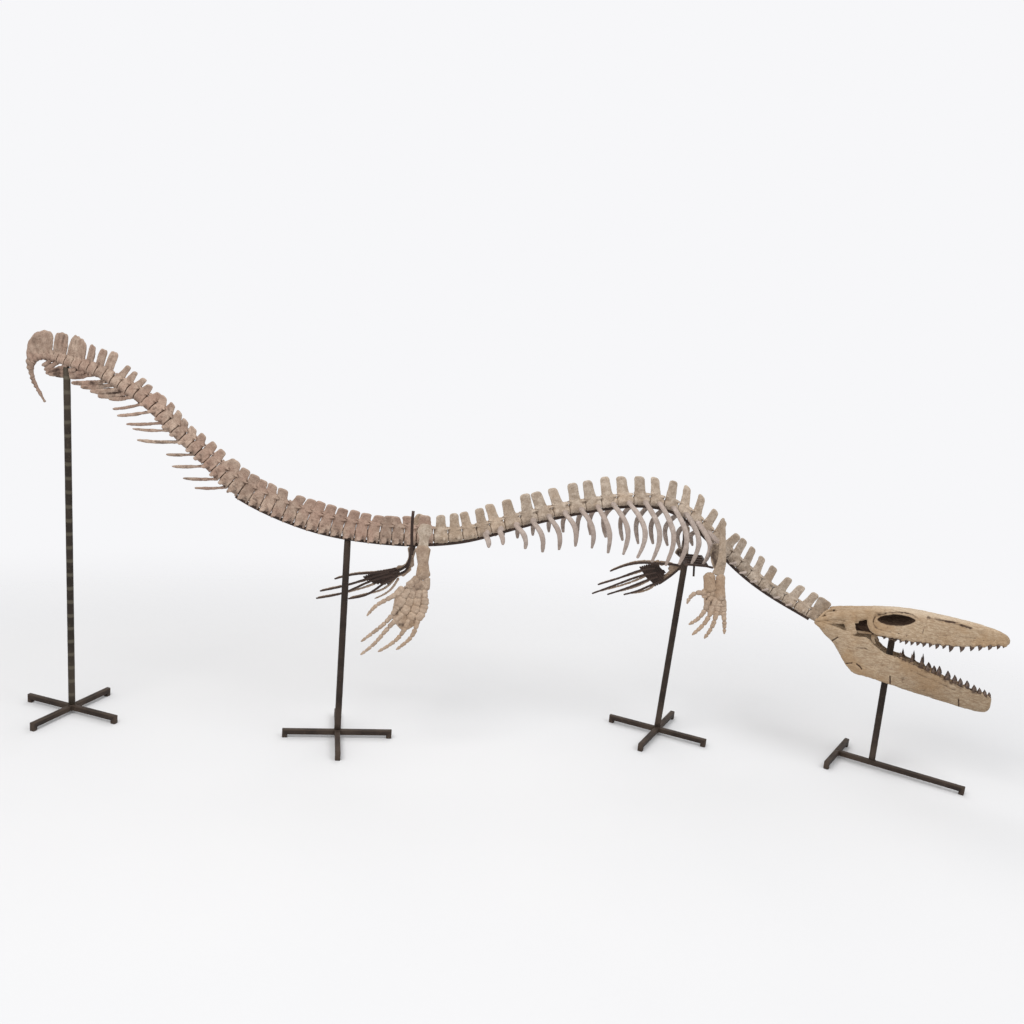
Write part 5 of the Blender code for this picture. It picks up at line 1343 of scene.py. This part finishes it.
paddle("fore_paddle_right", FORE_R,
       [([(-2, 5), (-6, 42), (-12, 80)], [0.032, 0.029, 0.034], 0.5),
        ([(12, 84), (15, 98), (8, 114)], [0.017, 0.014, 0.019], 0.5),
        ([(-60, 4), (-64, 56), (-70, 122)], [0.025, 0.023, 0.027], 0.42)],
       [[(-16, 104), (6, 102)], [(-30, 112), (-6, 134)], [(-46, 118), (-34, 160)], [(-66, 132), (-62, 160), (-60, 186)], [(-84, 132), (-88, 160), (-91, 186)]],
       [[(4, 102), (57, 101), (90, 134), (98, 163)], [(-8, 132), (0, 168), (26, 221), (82, 265)],
        [(-32, 158), (-24, 202), (11, 266), (60, 317)], [(-56, 184), (-48, 241), (-27, 294), (-4, 331)],
        [(-90, 184), (-101, 240), (-106, 302)]], [3, 4, 4, 4, 3], 0.0152, 0.0092, 0.0135, 0.0105, seed=5,
       pebbles=[(-26, 96, 14), (-8, 150, 9), (-76, 152, 10)],
       palm=[(-100, 122), (-72, 74), (-58, 24), (-22, 24), (-8, 70), (-4, 92), (16, 94), (14, 130), (10, 172), (-6, 196), (-36, 206), (-74, 208), (-105, 202), (-108, 160)])
paddle("hind_paddle_left", HIND_L,
       [([(0, 8), (6, 60), (14, 106)], [0.024, 0.014, 0.024], 0.6), ([(24, 106), (48, 118), (74, 130)], [0.014, 0.010, 0.015], 0.6),
        ([(14, 120), (30, 142), (56, 162)], [0.014, 0.010, 0.015], 0.6)],
       [[(66, 120), (84, 134)], [(70, 134), (92, 150)], [(68, 150), (92, 166)], [(62, 164), (84, 178)]],
       [[(84, 132), (175, 165), (302, 196), (419, 243)], [(92, 148), (241, 222), (506, 330)],
        [(92, 164), (233, 256), (530, 378)], [(84, 176), (154, 260), (248, 307), (348, 348)], [(74, 186), (120, 262), (210, 330)]],
       [8, 9, 9, 7, 6], 0.0075, 0.0045, 0.0085, 0.0070, backed=True, seed=7)
paddle("fore_paddle_left", FORE_L,
       [([(8, 20), (34, 32), (62, 46)], [0.022, 0.018, 0.027], 0.5), ([(58, 20), (88, 14), (122, 20)], [0.015, 0.010, 0.016], 0.5),
        ([(60, 60), (82, 84), (104, 104)], [0.015, 0.010, 0.016], 0.5)],
       [[(128, 12), (148, 20)], [(128, 34), (154, 46)], [(124, 58), (150, 70)], [(118, 80), (142, 94)], [(106, 104), (126, 118)]],
       [[(146, 16), (229, 26), (312, 60), (388, 107)], [(152, 44), (225, 85), (451, 200)], [(150, 68), (196, 106), (480, 260)],
        [(140, 92), (172, 125), (394, 250)], [(124, 116), (151, 160), (303, 234)]],
       [6, 8, 9, 7, 5], 0.0075, 0.0045, 0.0100, 0.0070, backed=True, seed=9)


def flat_bone(piece, points, widths, thick, normal, seed):
    """Plate-like girdle bone: thick at its joint, thin and ragged at its far edge."""
    count = 22
    p = smooth_path(points, count)
    g = np.linspace(0, 1, len(points))
    f = np.linspace(0, 1, count)
    w = np.interp(f, g, widths) * 0.5
    w = w * np.interp(f, [0, 0.05, 1.0], [0.86, 1.0, 1.0])
    sh = Shape()
    sh.tube(p, 0.5 * thick * np.interp(f, [0, 0.5, 1], [0.85, 0.8, 1.25]), w, normal, 22, 2.5)
    # painted shade on downward faces; the shoulder plates are a darker tone, and their coracoids (even seeds) are
    # painted darker still
    piece.skin(sh, 0.0026, tint=hashed(seed, 4) - (1.6 if seed > 10 else 0.0), seed=seed + 60, lumps=1.6,
               extra=lambda v, n: 0.15 * np.clip(-n[:, 2], 0, 1) + ((0.72 if seed % 2 == 0 else 0.12) if seed > 10 else -0.04) + 0.45 * noise(v * 28, 29))


def hip_plate(name, limb, side, low):
    top = place(2.318, -0.010, side * 0.098, 0.090)
    pts = [top, 0.72 * top + 0.28 * low, 0.35 * top + 0.65 * low, low + (top - low) * 0.05]
    piece = Piece(name, TRUNK, "trunk_bone", [name])
    flat_bone(piece, pts, [0.052, 0.076, 0.044, 0.050], 0.014, limb.n, 5 + side)
    piece.build()


hip_plate("pelvis_right", HIND_R, -1, HIND_R.root)
hip_plate("pelvis_left", HIND_L, 1, HIND_L.at(0, -10, 0.010))


def shoulder_plate(name, limb, blade_line, coracoid_line, seed):
    piece = Piece(name, TRUNK, "trunk_bone", [name])
    for k, line in enumerate((blade_line, coracoid_line)):
        flat_bone(piece, [limb.at(a, b, off) for a, b, off, w in line], [w for a, b, off, w in line], 0.013 - 0.002 * k, limb.n, seed + k)
    piece.build()


shoulder_plate("shoulder_right", FORE_R,
               [(-46, -284, 0, 0.020), (-50, -225, 0, 0.030), (-56, -145, 0, 0.038), (-58, -70, 0, 0.046), (-46, -2, 0, 0.062)],
               [(-36, -30, 0.001, 0.034), (-27, -76, 0.003, 0.048), (-22, -118, 0.005, 0.050), (-24, -150, 0.007, 0.034)], 11)
shoulder_plate("shoulder_left", FORE_L,
               [(2, -188, 0.060, 0.022), (4, -130, 0.048, 0.034), (4, -70, 0.026, 0.044), (0, -14, 0.005, 0.046)],
               [(6, -40, 0.012, 0.036), (24, -54, 0.018, 0.044), (40, -64, 0.022, 0.044)], 15)


# ------------------------------------------------------------------ stands
def L(x, y, z):
    return np.array([x - X0, y - Y0, z])


def square_ring(c, d1, d2, w1, w2, sides=24, power=7.0):
    w = 2 * math.pi * (np.arange(sides) + 0.5) / sides
    ca = np.sign(np.cos(w)) * np.abs(np.cos(w)) ** (2 / power)
    sa = np.sign(np.sin(w)) * np.abs(np.sin(w)) ** (2 / power)
    return c + np.outer(ca * w1, d1) + np.outer(sa * w2, d2)


def arm(sh, c, ang, start, length, foot=True):
    """Square tube from the centre out, mitred down into its foot."""
    d, n = np.array([math.cos(ang), math.sin(ang), 0]), np.array([-math.sin(ang), math.cos(ang), 0])
    up = np.array([0, 0, 1.0])
    w = ARM_W / 2
    rings = []
    for q in np.linspace(start, length - ARM_W - 0.002, 10):
        rings.append(square_ring(c + d * q + up * ARM_Z, n, up, w, w))
    sq = square_ring(np.zeros(3), n, up, w, w)
    corner = np.array([p + up * ARM_Z + c + d * (length - w + p[2]) for p in sq])
    rings.append(corner)
    for z, k in ((ARM_Z - w - 0.002, 1.0), (0.006, 1.0), (0.0015, 0.98), (0.0, 0.90)):
        rings.append(np.array([c + d * (length - w) + n * (p @ n) * k + d * p[2] * k + up * z for p in sq]))
    sh.loft(rings)


def bead(sh, pts, r, ref=(0, 0, 1), wobble=0.25, seed=0):
    """Weld bead along a path."""
    n = len(pts)
    k = np.arange(n)
    rr = r * (1 + wobble * np.sin(k * 2.4 + seed) * 0.5)
    sh.tube(pts, rr, rr, ref, 8)


def cross_base(name, x, y, turn, arms, rod_at):
    piece = Piece(name, STEEL, "stand_steel", [name])
    c = L(x, y, 0.0)
    w = ARM_W / 2
    up = np.array([0, 0, 1.0])
    main = math.radians(turn + arms[0][0])
    d, n = np.array([math.cos(main), math.sin(main), 0]), np.array([-math.sin(main), math.cos(main), 0])
    sh = Shape()
    for sg in (1, -1):
        arm(sh, c, main + (0 if sg > 0 else math.pi), -0.001, arms[0][1])
    for ang, length, start in arms[1:]:
        a = math.radians(turn + ang)
        arm(sh, c, a, w - 0.001, length)
        if start < -0.1:
            arm(sh, c, a + math.pi, w - 0.001, length)
        for k in ([1, -1] if start < -0.1 else [1]):
            dd = np.array([math.cos(a), math.sin(a), 0]) * k
            e = np.cross(up, dd)
            for s0, s1 in (((-w, -w), (-w, w)), ((-w, w), (w, w)), ((w, w), (w, -w))):
                p0 = c + dd * (w + 0.001) + e * s0[0] + up * (ARM_Z + s0[1])
                p1 = c + dd * (w + 0.001) + e * s1[0] + up * (ARM_Z + s1[1])
                bead(sh, [p0 + (p1 - p0) * f for f in np.linspace(0, 1, 10)], 0.0026, seed=k, ref=dd)
    rx, ry = rod_at
    top = ARM_Z + w
    ring = [L(rx, ry, top + 0.0005) + np.array([math.cos(f), math.sin(f), 0]) * (ROD_R + 0.0012) for f in np.linspace(0, 2 * math.pi, 40)]
    bead(sh, ring, 0.0027, seed=3)
    piece.shell(sh, amount=0.12, lumps=0.6, seed=int(abs(x) * 10))
    piece.build()


def rod_piece(name, foot, top, normal, material, cradle=0.0, saddle=None):
    foot, top = np.array(foot, float) - OFF, np.array(top, float) - OFF
    axis = (top - foot) / np.linalg.norm(top - foot)
    sides = 36
    w = 2 * math.pi * np.arange(sides) / sides
    off = np.stack([np.cos(w) * ROD_R, np.sin(w) * ROD_R, 0 * w], 1)
    high = top + off + np.outer(-(off @ normal) / (axis @ normal), axis)
    rings = []
    for f in np.linspace(0, 1, 26):
        k = 1.0 + 0.012 * math.sin(f * 70)
        if f == 1.0:
            k = 0.96
        rings.append(foot + (high.mean(0) - foot) * f + off * k + (np.outer(f ** 8, np.zeros(3)) + (high - high.mean(0) - off) * (f ** 12)))
    sh = Shape()
    sh.loft(rings)
    if cradle:
        c = high.mean(0)
        sh.loft([square_ring(c + axis * z, HU, HV, a, b, 28, 4.0) for z, a, b in
                 ((-0.010, 0.012, 0.012), (-0.004, 0.020, 0.020), (cradle - 0.004, 0.036, 0.026), (cradle, 0.035, 0.025))])
    piece = Piece(name, material, "stand_steel", [name])
    piece.shell(sh, amount=0.10, seed=9)
    piece.build()


TOP_OF_ARM = ARM_Z + ARM_W / 2 + 0.0003


def nearest_s(x, lo=0.3):
    s = np.linspace(lo, S[-1], 4000)
    px = np.interp(s, S, P[:, 0] + X0)
    return float(s[np.argmin(np.abs(px - x))])


for key, (x, y, turn, top_x) in STANDS.items():
    cross_base("stand_%s_base" % key, x, y, turn, [(0, ARM_R, -ARM_R), (90, ARM_R, -ARM_R)], (x, y))
    if key == "chest":
        rod_piece("stand_chest_rod", (x, y, TOP_OF_ARM), (CHEST_XY[0], CHEST_XY[1], CHEST_Z - 0.0065), np.array([0, 0, 1.0]), STEEL)
        continue
    s = nearest_s(top_x)
    c, t, l, u = frame(s)
    fall = table(CENTRUM_R, s) + (BAR_GAP + BAR_H if s > 1.2 else 0.0) + 0.0012
    rod_piece("stand_%s_rod" % key, (x, y, TOP_OF_ARM), c + OFF - u * fall, u, TAILROD if key == "tail" else STEEL)

hd = math.radians(HEAD_STAND_TURN)
jx, jy = HX - HEAD_ROD_BACK * math.cos(hd), HY - HEAD_ROD_BACK * math.sin(hd)
cross_base("stand_head_base", jx, jy, HEAD_STAND_TURN, [(90, HEAD_CROSS, -HEAD_CROSS), (0, HEAD_BAR, -0.004)], (HX, HY))
palate = 0.697 + 0.16 * (0.868 - 0.697)
rod_piece("stand_head_rod", (HX, HY, TOP_OF_ARM), (HX, HY, palate - 0.0045), np.array([-0.09 * HC, -0.09 * HS, 1.0]) / 1.004, STEEL, cradle=0.004)


def spine_bar(name, s0, s1):
    """Bar that follows the underside of the backbone."""
    n = max(8, int((s1 - s0) / 0.016))
    sh = Shape()
    rings = []
    for s in np.linspace(s0, s1, n):
        c, t, l, u = frame(s)
        top, low = table(CENTRUM_R, s) * 0.95, table(CENTRUM_R, s) * 1.05 + 0.0018 + BAR_H
        half = 0.5 * (low - top)
        rings.append(square_ring(c - u * (top + half), l, u, BAR_W / 2, half, 16, 6.0))
    sh.loft(rings)
    piece = Piece(name, FRAMES, "frame_steel", [name])
    piece.shell(sh, amount=0.10, seed=4)
    piece.build()


spine_bar("stand_bar_tail", 1.400, 2.3575)
spine_bar("stand_bar_trunk", 2.3585, 3.8645)
spine_bar("stand_bar_neck", 3.8655, 4.546)


def strip(sh, points, wide, thick, ref, count=12):
    pts = resample(points, count) if len(points) == 2 else smooth_path(points, count)
    sh.tube(pts, wide / 2, thick / 2, ref, 20, 7.0, caps=False)


def clip_line(poly, p, d):
    """Where a line crosses the outline of a flat plate."""
    hits = []
    for (x0, y0), (x1, y1) in zip(poly, poly[1:] + poly[:1]):
        ex, ey = x1 - x0, y1 - y0
        det = d[0] * (-ey) + d[1] * ex
        if abs(det) < 1e-9:
            continue
        rx, ry = x0 - p[0], y0 - p[1]
        t = (rx * (-ey) + ry * ex) / det
        s = (d[0] * ry - d[1] * rx) / det
        if 0 <= s <= 1:
            hits.append(t)
    return (min(hits), max(hits)) if len(hits) >= 2 else None


def paddle_frame(sh, limb, rails, palm, digits, lie, step, off=-0.0048):
    for k, pts in enumerate(rails):
        p = smooth_path([limb.at(a, b, off + 0.0001 * k) for a, b in pts], 20)
        sh.tube(p, 0.0042, 0.0058, limb.n, 14, 4.0)
    for k, d in enumerate(digits):
        p = smooth_path([limb.at(a, b, off + 0.0001 * (k - 2)) for a, b in d], 26)
        f = np.linspace(0, 1, 26)
        r = np.interp(f, [0, 0.5, 1], [0.0060, 0.0058, 0.0044]) * (1 + 0.08 * np.sin(f * 60 + k))
        sh.tube(p, r * 0.8, r, limb.n, 12, 3.0)
    pts = np.array(palm, float)
    c = pts.mean(0)
    inner = c + (pts - c) * 0.97
    sh.loft([[limb.at(a, b, off + z) for a, b in inner] for z in (-0.0006, 0.0020)])
    d = np.array(lie) / np.linalg.norm(lie)
    e = np.array([-d[1], d[0]])
    span = (pts - c) @ e
    k = 0
    for o in np.arange(span.min() + 0.5 * step, span.max(), step):
        hit = clip_line(palm, c + e * o, d)
        if hit is None or hit[1] - hit[0] < 8:
            continue
        a, b = c + e * o + d * (hit[0] - 3), c + e * o + d * (hit[1] + 3)
        k += 1
        p = resample([limb.at(*a, off - 0.0022), limb.at(*b, off - 0.0022)], 8)
        sh.tube(p, 0.0016, 0.40 * step / 1000, limb.n, 12, 5.0)


def frame_piece(name, sh):
    piece = Piece(name, FRAMES, "frame_steel", [name])
    piece.shell(sh, amount=0.10, seed=6)
    piece.build()


under = 0.992
sh = Shape()
strip(sh, [L(-0.464, 5.024, 1.200), L(-0.4645, 5.024, 1.188), L(-0.456, 5.024, under - 0.006)], 0.014, 0.005, (1, 0, 0), 16)
strip(sh, [L(-0.4565, 5.0225, under), L(-0.4625, 5.238, under)], 0.012, 0.012, (0, 0, 1))
strip(sh, [L(-0.462, 5.231, under + 0.001), HIND_L.at(-2, -2, -0.012), HIND_L.at(2, 14, -0.0052)], 0.012, 0.008, (1, 0, 0))
paddle_frame(sh, HIND_L, [[(1, 4), (6, 60), (30, 106), (96, 152)], [(8, 70), (22, 118), (100, 172)]],
             [(80, 126), (180, 158), (262, 206), (206, 232), (128, 222), (74, 168)],
             [[(84, 128), (175, 163), (302, 196), (419, 243)], [(120, 152), (240, 212), (360, 272), (506, 330)],
              [(100, 166), (220, 222), (360, 310), (530, 378)], [(84, 176), (140, 216), (248, 307), (348, 348)]], (-0.77, 0.64), 14.0)
frame_piece("stand_hind_frame", sh)

zc = CHEST_Z
sh = Shape()
strip(sh, [L(0.902, 5.352, zc), L(0.902, 5.578, zc)], 0.016, 0.0120, (1, 0, 0))
strip(sh, [L(1.010, 5.372, zc), L(1.010, 5.574, zc)], 0.012, 0.0116, (1, 0, 0))
for k in range(5):
    y = 5.374 + 0.0495 * k
    strip(sh, [L(0.8965, y, zc + 0.0002), L(1.0145, y, zc + 0.0002)], 0.016, 0.0112, (0, 1, 0))
strip(sh, [L(0.960, 5.4730, zc - 0.001), L(0.966, 5.4730, zc - 0.085)], 0.010, 0.010, (0, 1, 0))
strip(sh, [L(0.998, 5.374, zc), FORE_R.at(-20, -32, 0.0125)], 0.010, 0.008, (0, 0, 1))
strip(sh, [L(0.904, 5.572, zc), FORE_L.at(6, -18, -0.017), FORE_L.at(8, 12, -0.0050)], 0.010, 0.008, (1, 0, 0))
s = nearest_s(0.905)
c, t, l, u = frame(s)
top = c - u * (table(CENTRUM_R, s) + BAR_GAP + BAR_H + 0.0016)
strip(sh, [np.array([0.903 - X0, top[1], zc + 0.002]), np.array([top[0], top[1], top[2] - 0.006])], 0.010, 0.018, (1, 0, 0))
paddle_frame(sh, FORE_L, [[(6, 10), (49, 9), (100, 14), (160, 22)], [(6, 12), (54, 71), (114, 132)]],
             [(92, 60), (146, 14), (232, 58), (190, 108), (140, 150), (108, 128)],
             [[(130, 18), (229, 31), (312, 62), (388, 107)], [(150, 48), (205, 66), (320, 130), (451, 200)],
              [(140, 72), (190, 92), (330, 170), (480, 260)], [(130, 96), (160, 112), (270, 180), (394, 250)],
              [(110, 120), (128, 130), (220, 192), (303, 234)]], (-0.62, 0.78), 12.5)
frame_piece("stand_chest_frame", sh)


# ------------------------------------------------------------------ stage
def floor():
    """Wide pale floor that fades into the background at its rim."""
    k = Nodes("studio_floor")
    v = k.coords()
    length = k.new("ShaderNodeVectorMath", operation="LENGTH")
    k.link(k.coords((0.62, 1.0, 1.0)), length.inputs[0])
    n = k.noise(v, 0.7, 2.0)
    c = k.mix(n, lin(220, 221, 223), lin(226, 226, 227))
    k.link(c, k.bsdf.inputs["Base Color"])
    k.bsdf.inputs["Roughness"].default_value = 0.9
    k.bsdf.inputs["Specular IOR Level"].default_value = 0.1
    clear = k.new("ShaderNodeBsdfTransparent")
    mix = k.new("ShaderNodeMixShader")
    k.link(k.span(length.outputs["Value"], 1.1, 3.6), mix.inputs["Fac"])
    k.link(k.bsdf.outputs["BSDF"], mix.inputs[1])
    k.link(clear.outputs["BSDF"], mix.inputs[2])
    out = k.t.nodes["Material Output"]
    k.link(mix.outputs["Shader"], out.inputs["Surface"])
    n = 64
    ring = [(9 * math.cos(2 * math.pi * i / n), 9 * math.sin(2 * math.pi * i / n), 0.0) for i in range(n)]
    me = bpy.data.meshes.new("studio_floor")
    me.from_pydata(ring, [], [list(range(n))])
    me.materials.append(k.m)
    ob = bpy.data.objects.new("studio_floor", me)
    bpy.context.scene.collection.objects.link(ob)


floor()

scene = bpy.context.scene
world = bpy.data.worlds.new("studio")
scene.world = world
world.use_nodes = True
wt = world.node_tree
for nd in list(wt.nodes):
    wt.nodes.remove(nd)
out = wt.nodes.new("ShaderNodeOutputWorld")
seen, lit = wt.nodes.new("ShaderNodeBackground"), wt.nodes.new("ShaderNodeBackground")
seen.inputs["Color"].default_value = lin(247, 247, 249)
seen.inputs["Strength"].default_value = 1.0
lit.inputs["Color"].default_value = (1.0, 0.99, 0.985, 1)
lit.inputs["Strength"].default_value = 0.655
path = wt.nodes.new("ShaderNodeLightPath")
mixw = wt.nodes.new("ShaderNodeMixShader")
wt.links.new(path.outputs["Is Camera Ray"], mixw.inputs["Fac"])
wt.links.new(lit.outputs[0], mixw.inputs[1])
wt.links.new(seen.outputs[0], mixw.inputs[2])
wt.links.new(mixw.outputs[0], out.inputs["Surface"])


def area(name, where, look, size, power, colour=(1, 1, 1)):
    li = bpy.data.lights.new(name, "AREA")
    li.shape = "DISK"
    li.size = size
    li.energy = power
    li.color = colour
    ob = bpy.data.objects.new(name, li)
    scene.collection.objects.link(ob)
    d = np.array(look, float) - np.array(where, float)
    d /= np.linalg.norm(d)
    z = -d
    x = np.cross((0, 0, 1), z) if abs(z[2]) < 0.999 else np.array([1.0, 0, 0])
    x /= np.linalg.norm(x)
    y = np.cross(z, x)
    from mathutils import Matrix
    m = Matrix.Identity(4)
    for i in range(3):
        m[i][0], m[i][1], m[i][2], m[i][3] = x[i], y[i], z[i], where[i]
    ob.matrix_world = m


area("key", (-2.5, -3.5, 5.5), (0, 0, 0.8), 3.6, 190, (1.0, 0.985, 0.965))
area("fill", (3.5, -2.0, 4.8), (0.5, 0, 0.8), 3.0, 90, (0.97, 0.985, 1.0))
area("back", (0.0, 4.0, 5.2), (0, 0, 0.8), 4.0, 80)

# camera: fitted to the floor crosses and rods
TILT, ROLL, FOCAL = math.radians(12.08), math.radians(5.06), 1091.0
cam_data = bpy.data.cameras.new("camera")
cam_data.sensor_width = 36.0
cam_data.lens = FOCAL / 1024 * 36.0
cam_data.clip_start, cam_data.clip_end = 0.05, 200.0
cam = bpy.data.objects.new("camera", cam_data)
scene.collection.objects.link(cam)
right, up_dir = np.array([1.0, 0, 0]), np.array([0, math.sin(TILT), math.cos(TILT)])
fwd_dir = np.array([0, math.cos(TILT), -math.sin(TILT)])
r2 = math.cos(ROLL) * right + math.sin(ROLL) * up_dir
u2 = -math.sin(ROLL) * right + math.cos(ROLL) * up_dir
from mathutils import Matrix
m = Matrix.Identity(4)
for i in range(3):
    m[i][0], m[i][1], m[i][2] = r2[i], u2[i], -fwd_dir[i]
m[0][3], m[1][3], m[2][3] = -X0, -Y0, 2.3123
cam.matrix_world = m
scene.camera = cam
scene.view_settings.view_transform = "Standard"
scene.view_settings.look = "None"

for row in TALLY:
    print("piece", *row)
print("triangles", sum(n for _, n in TALLY))
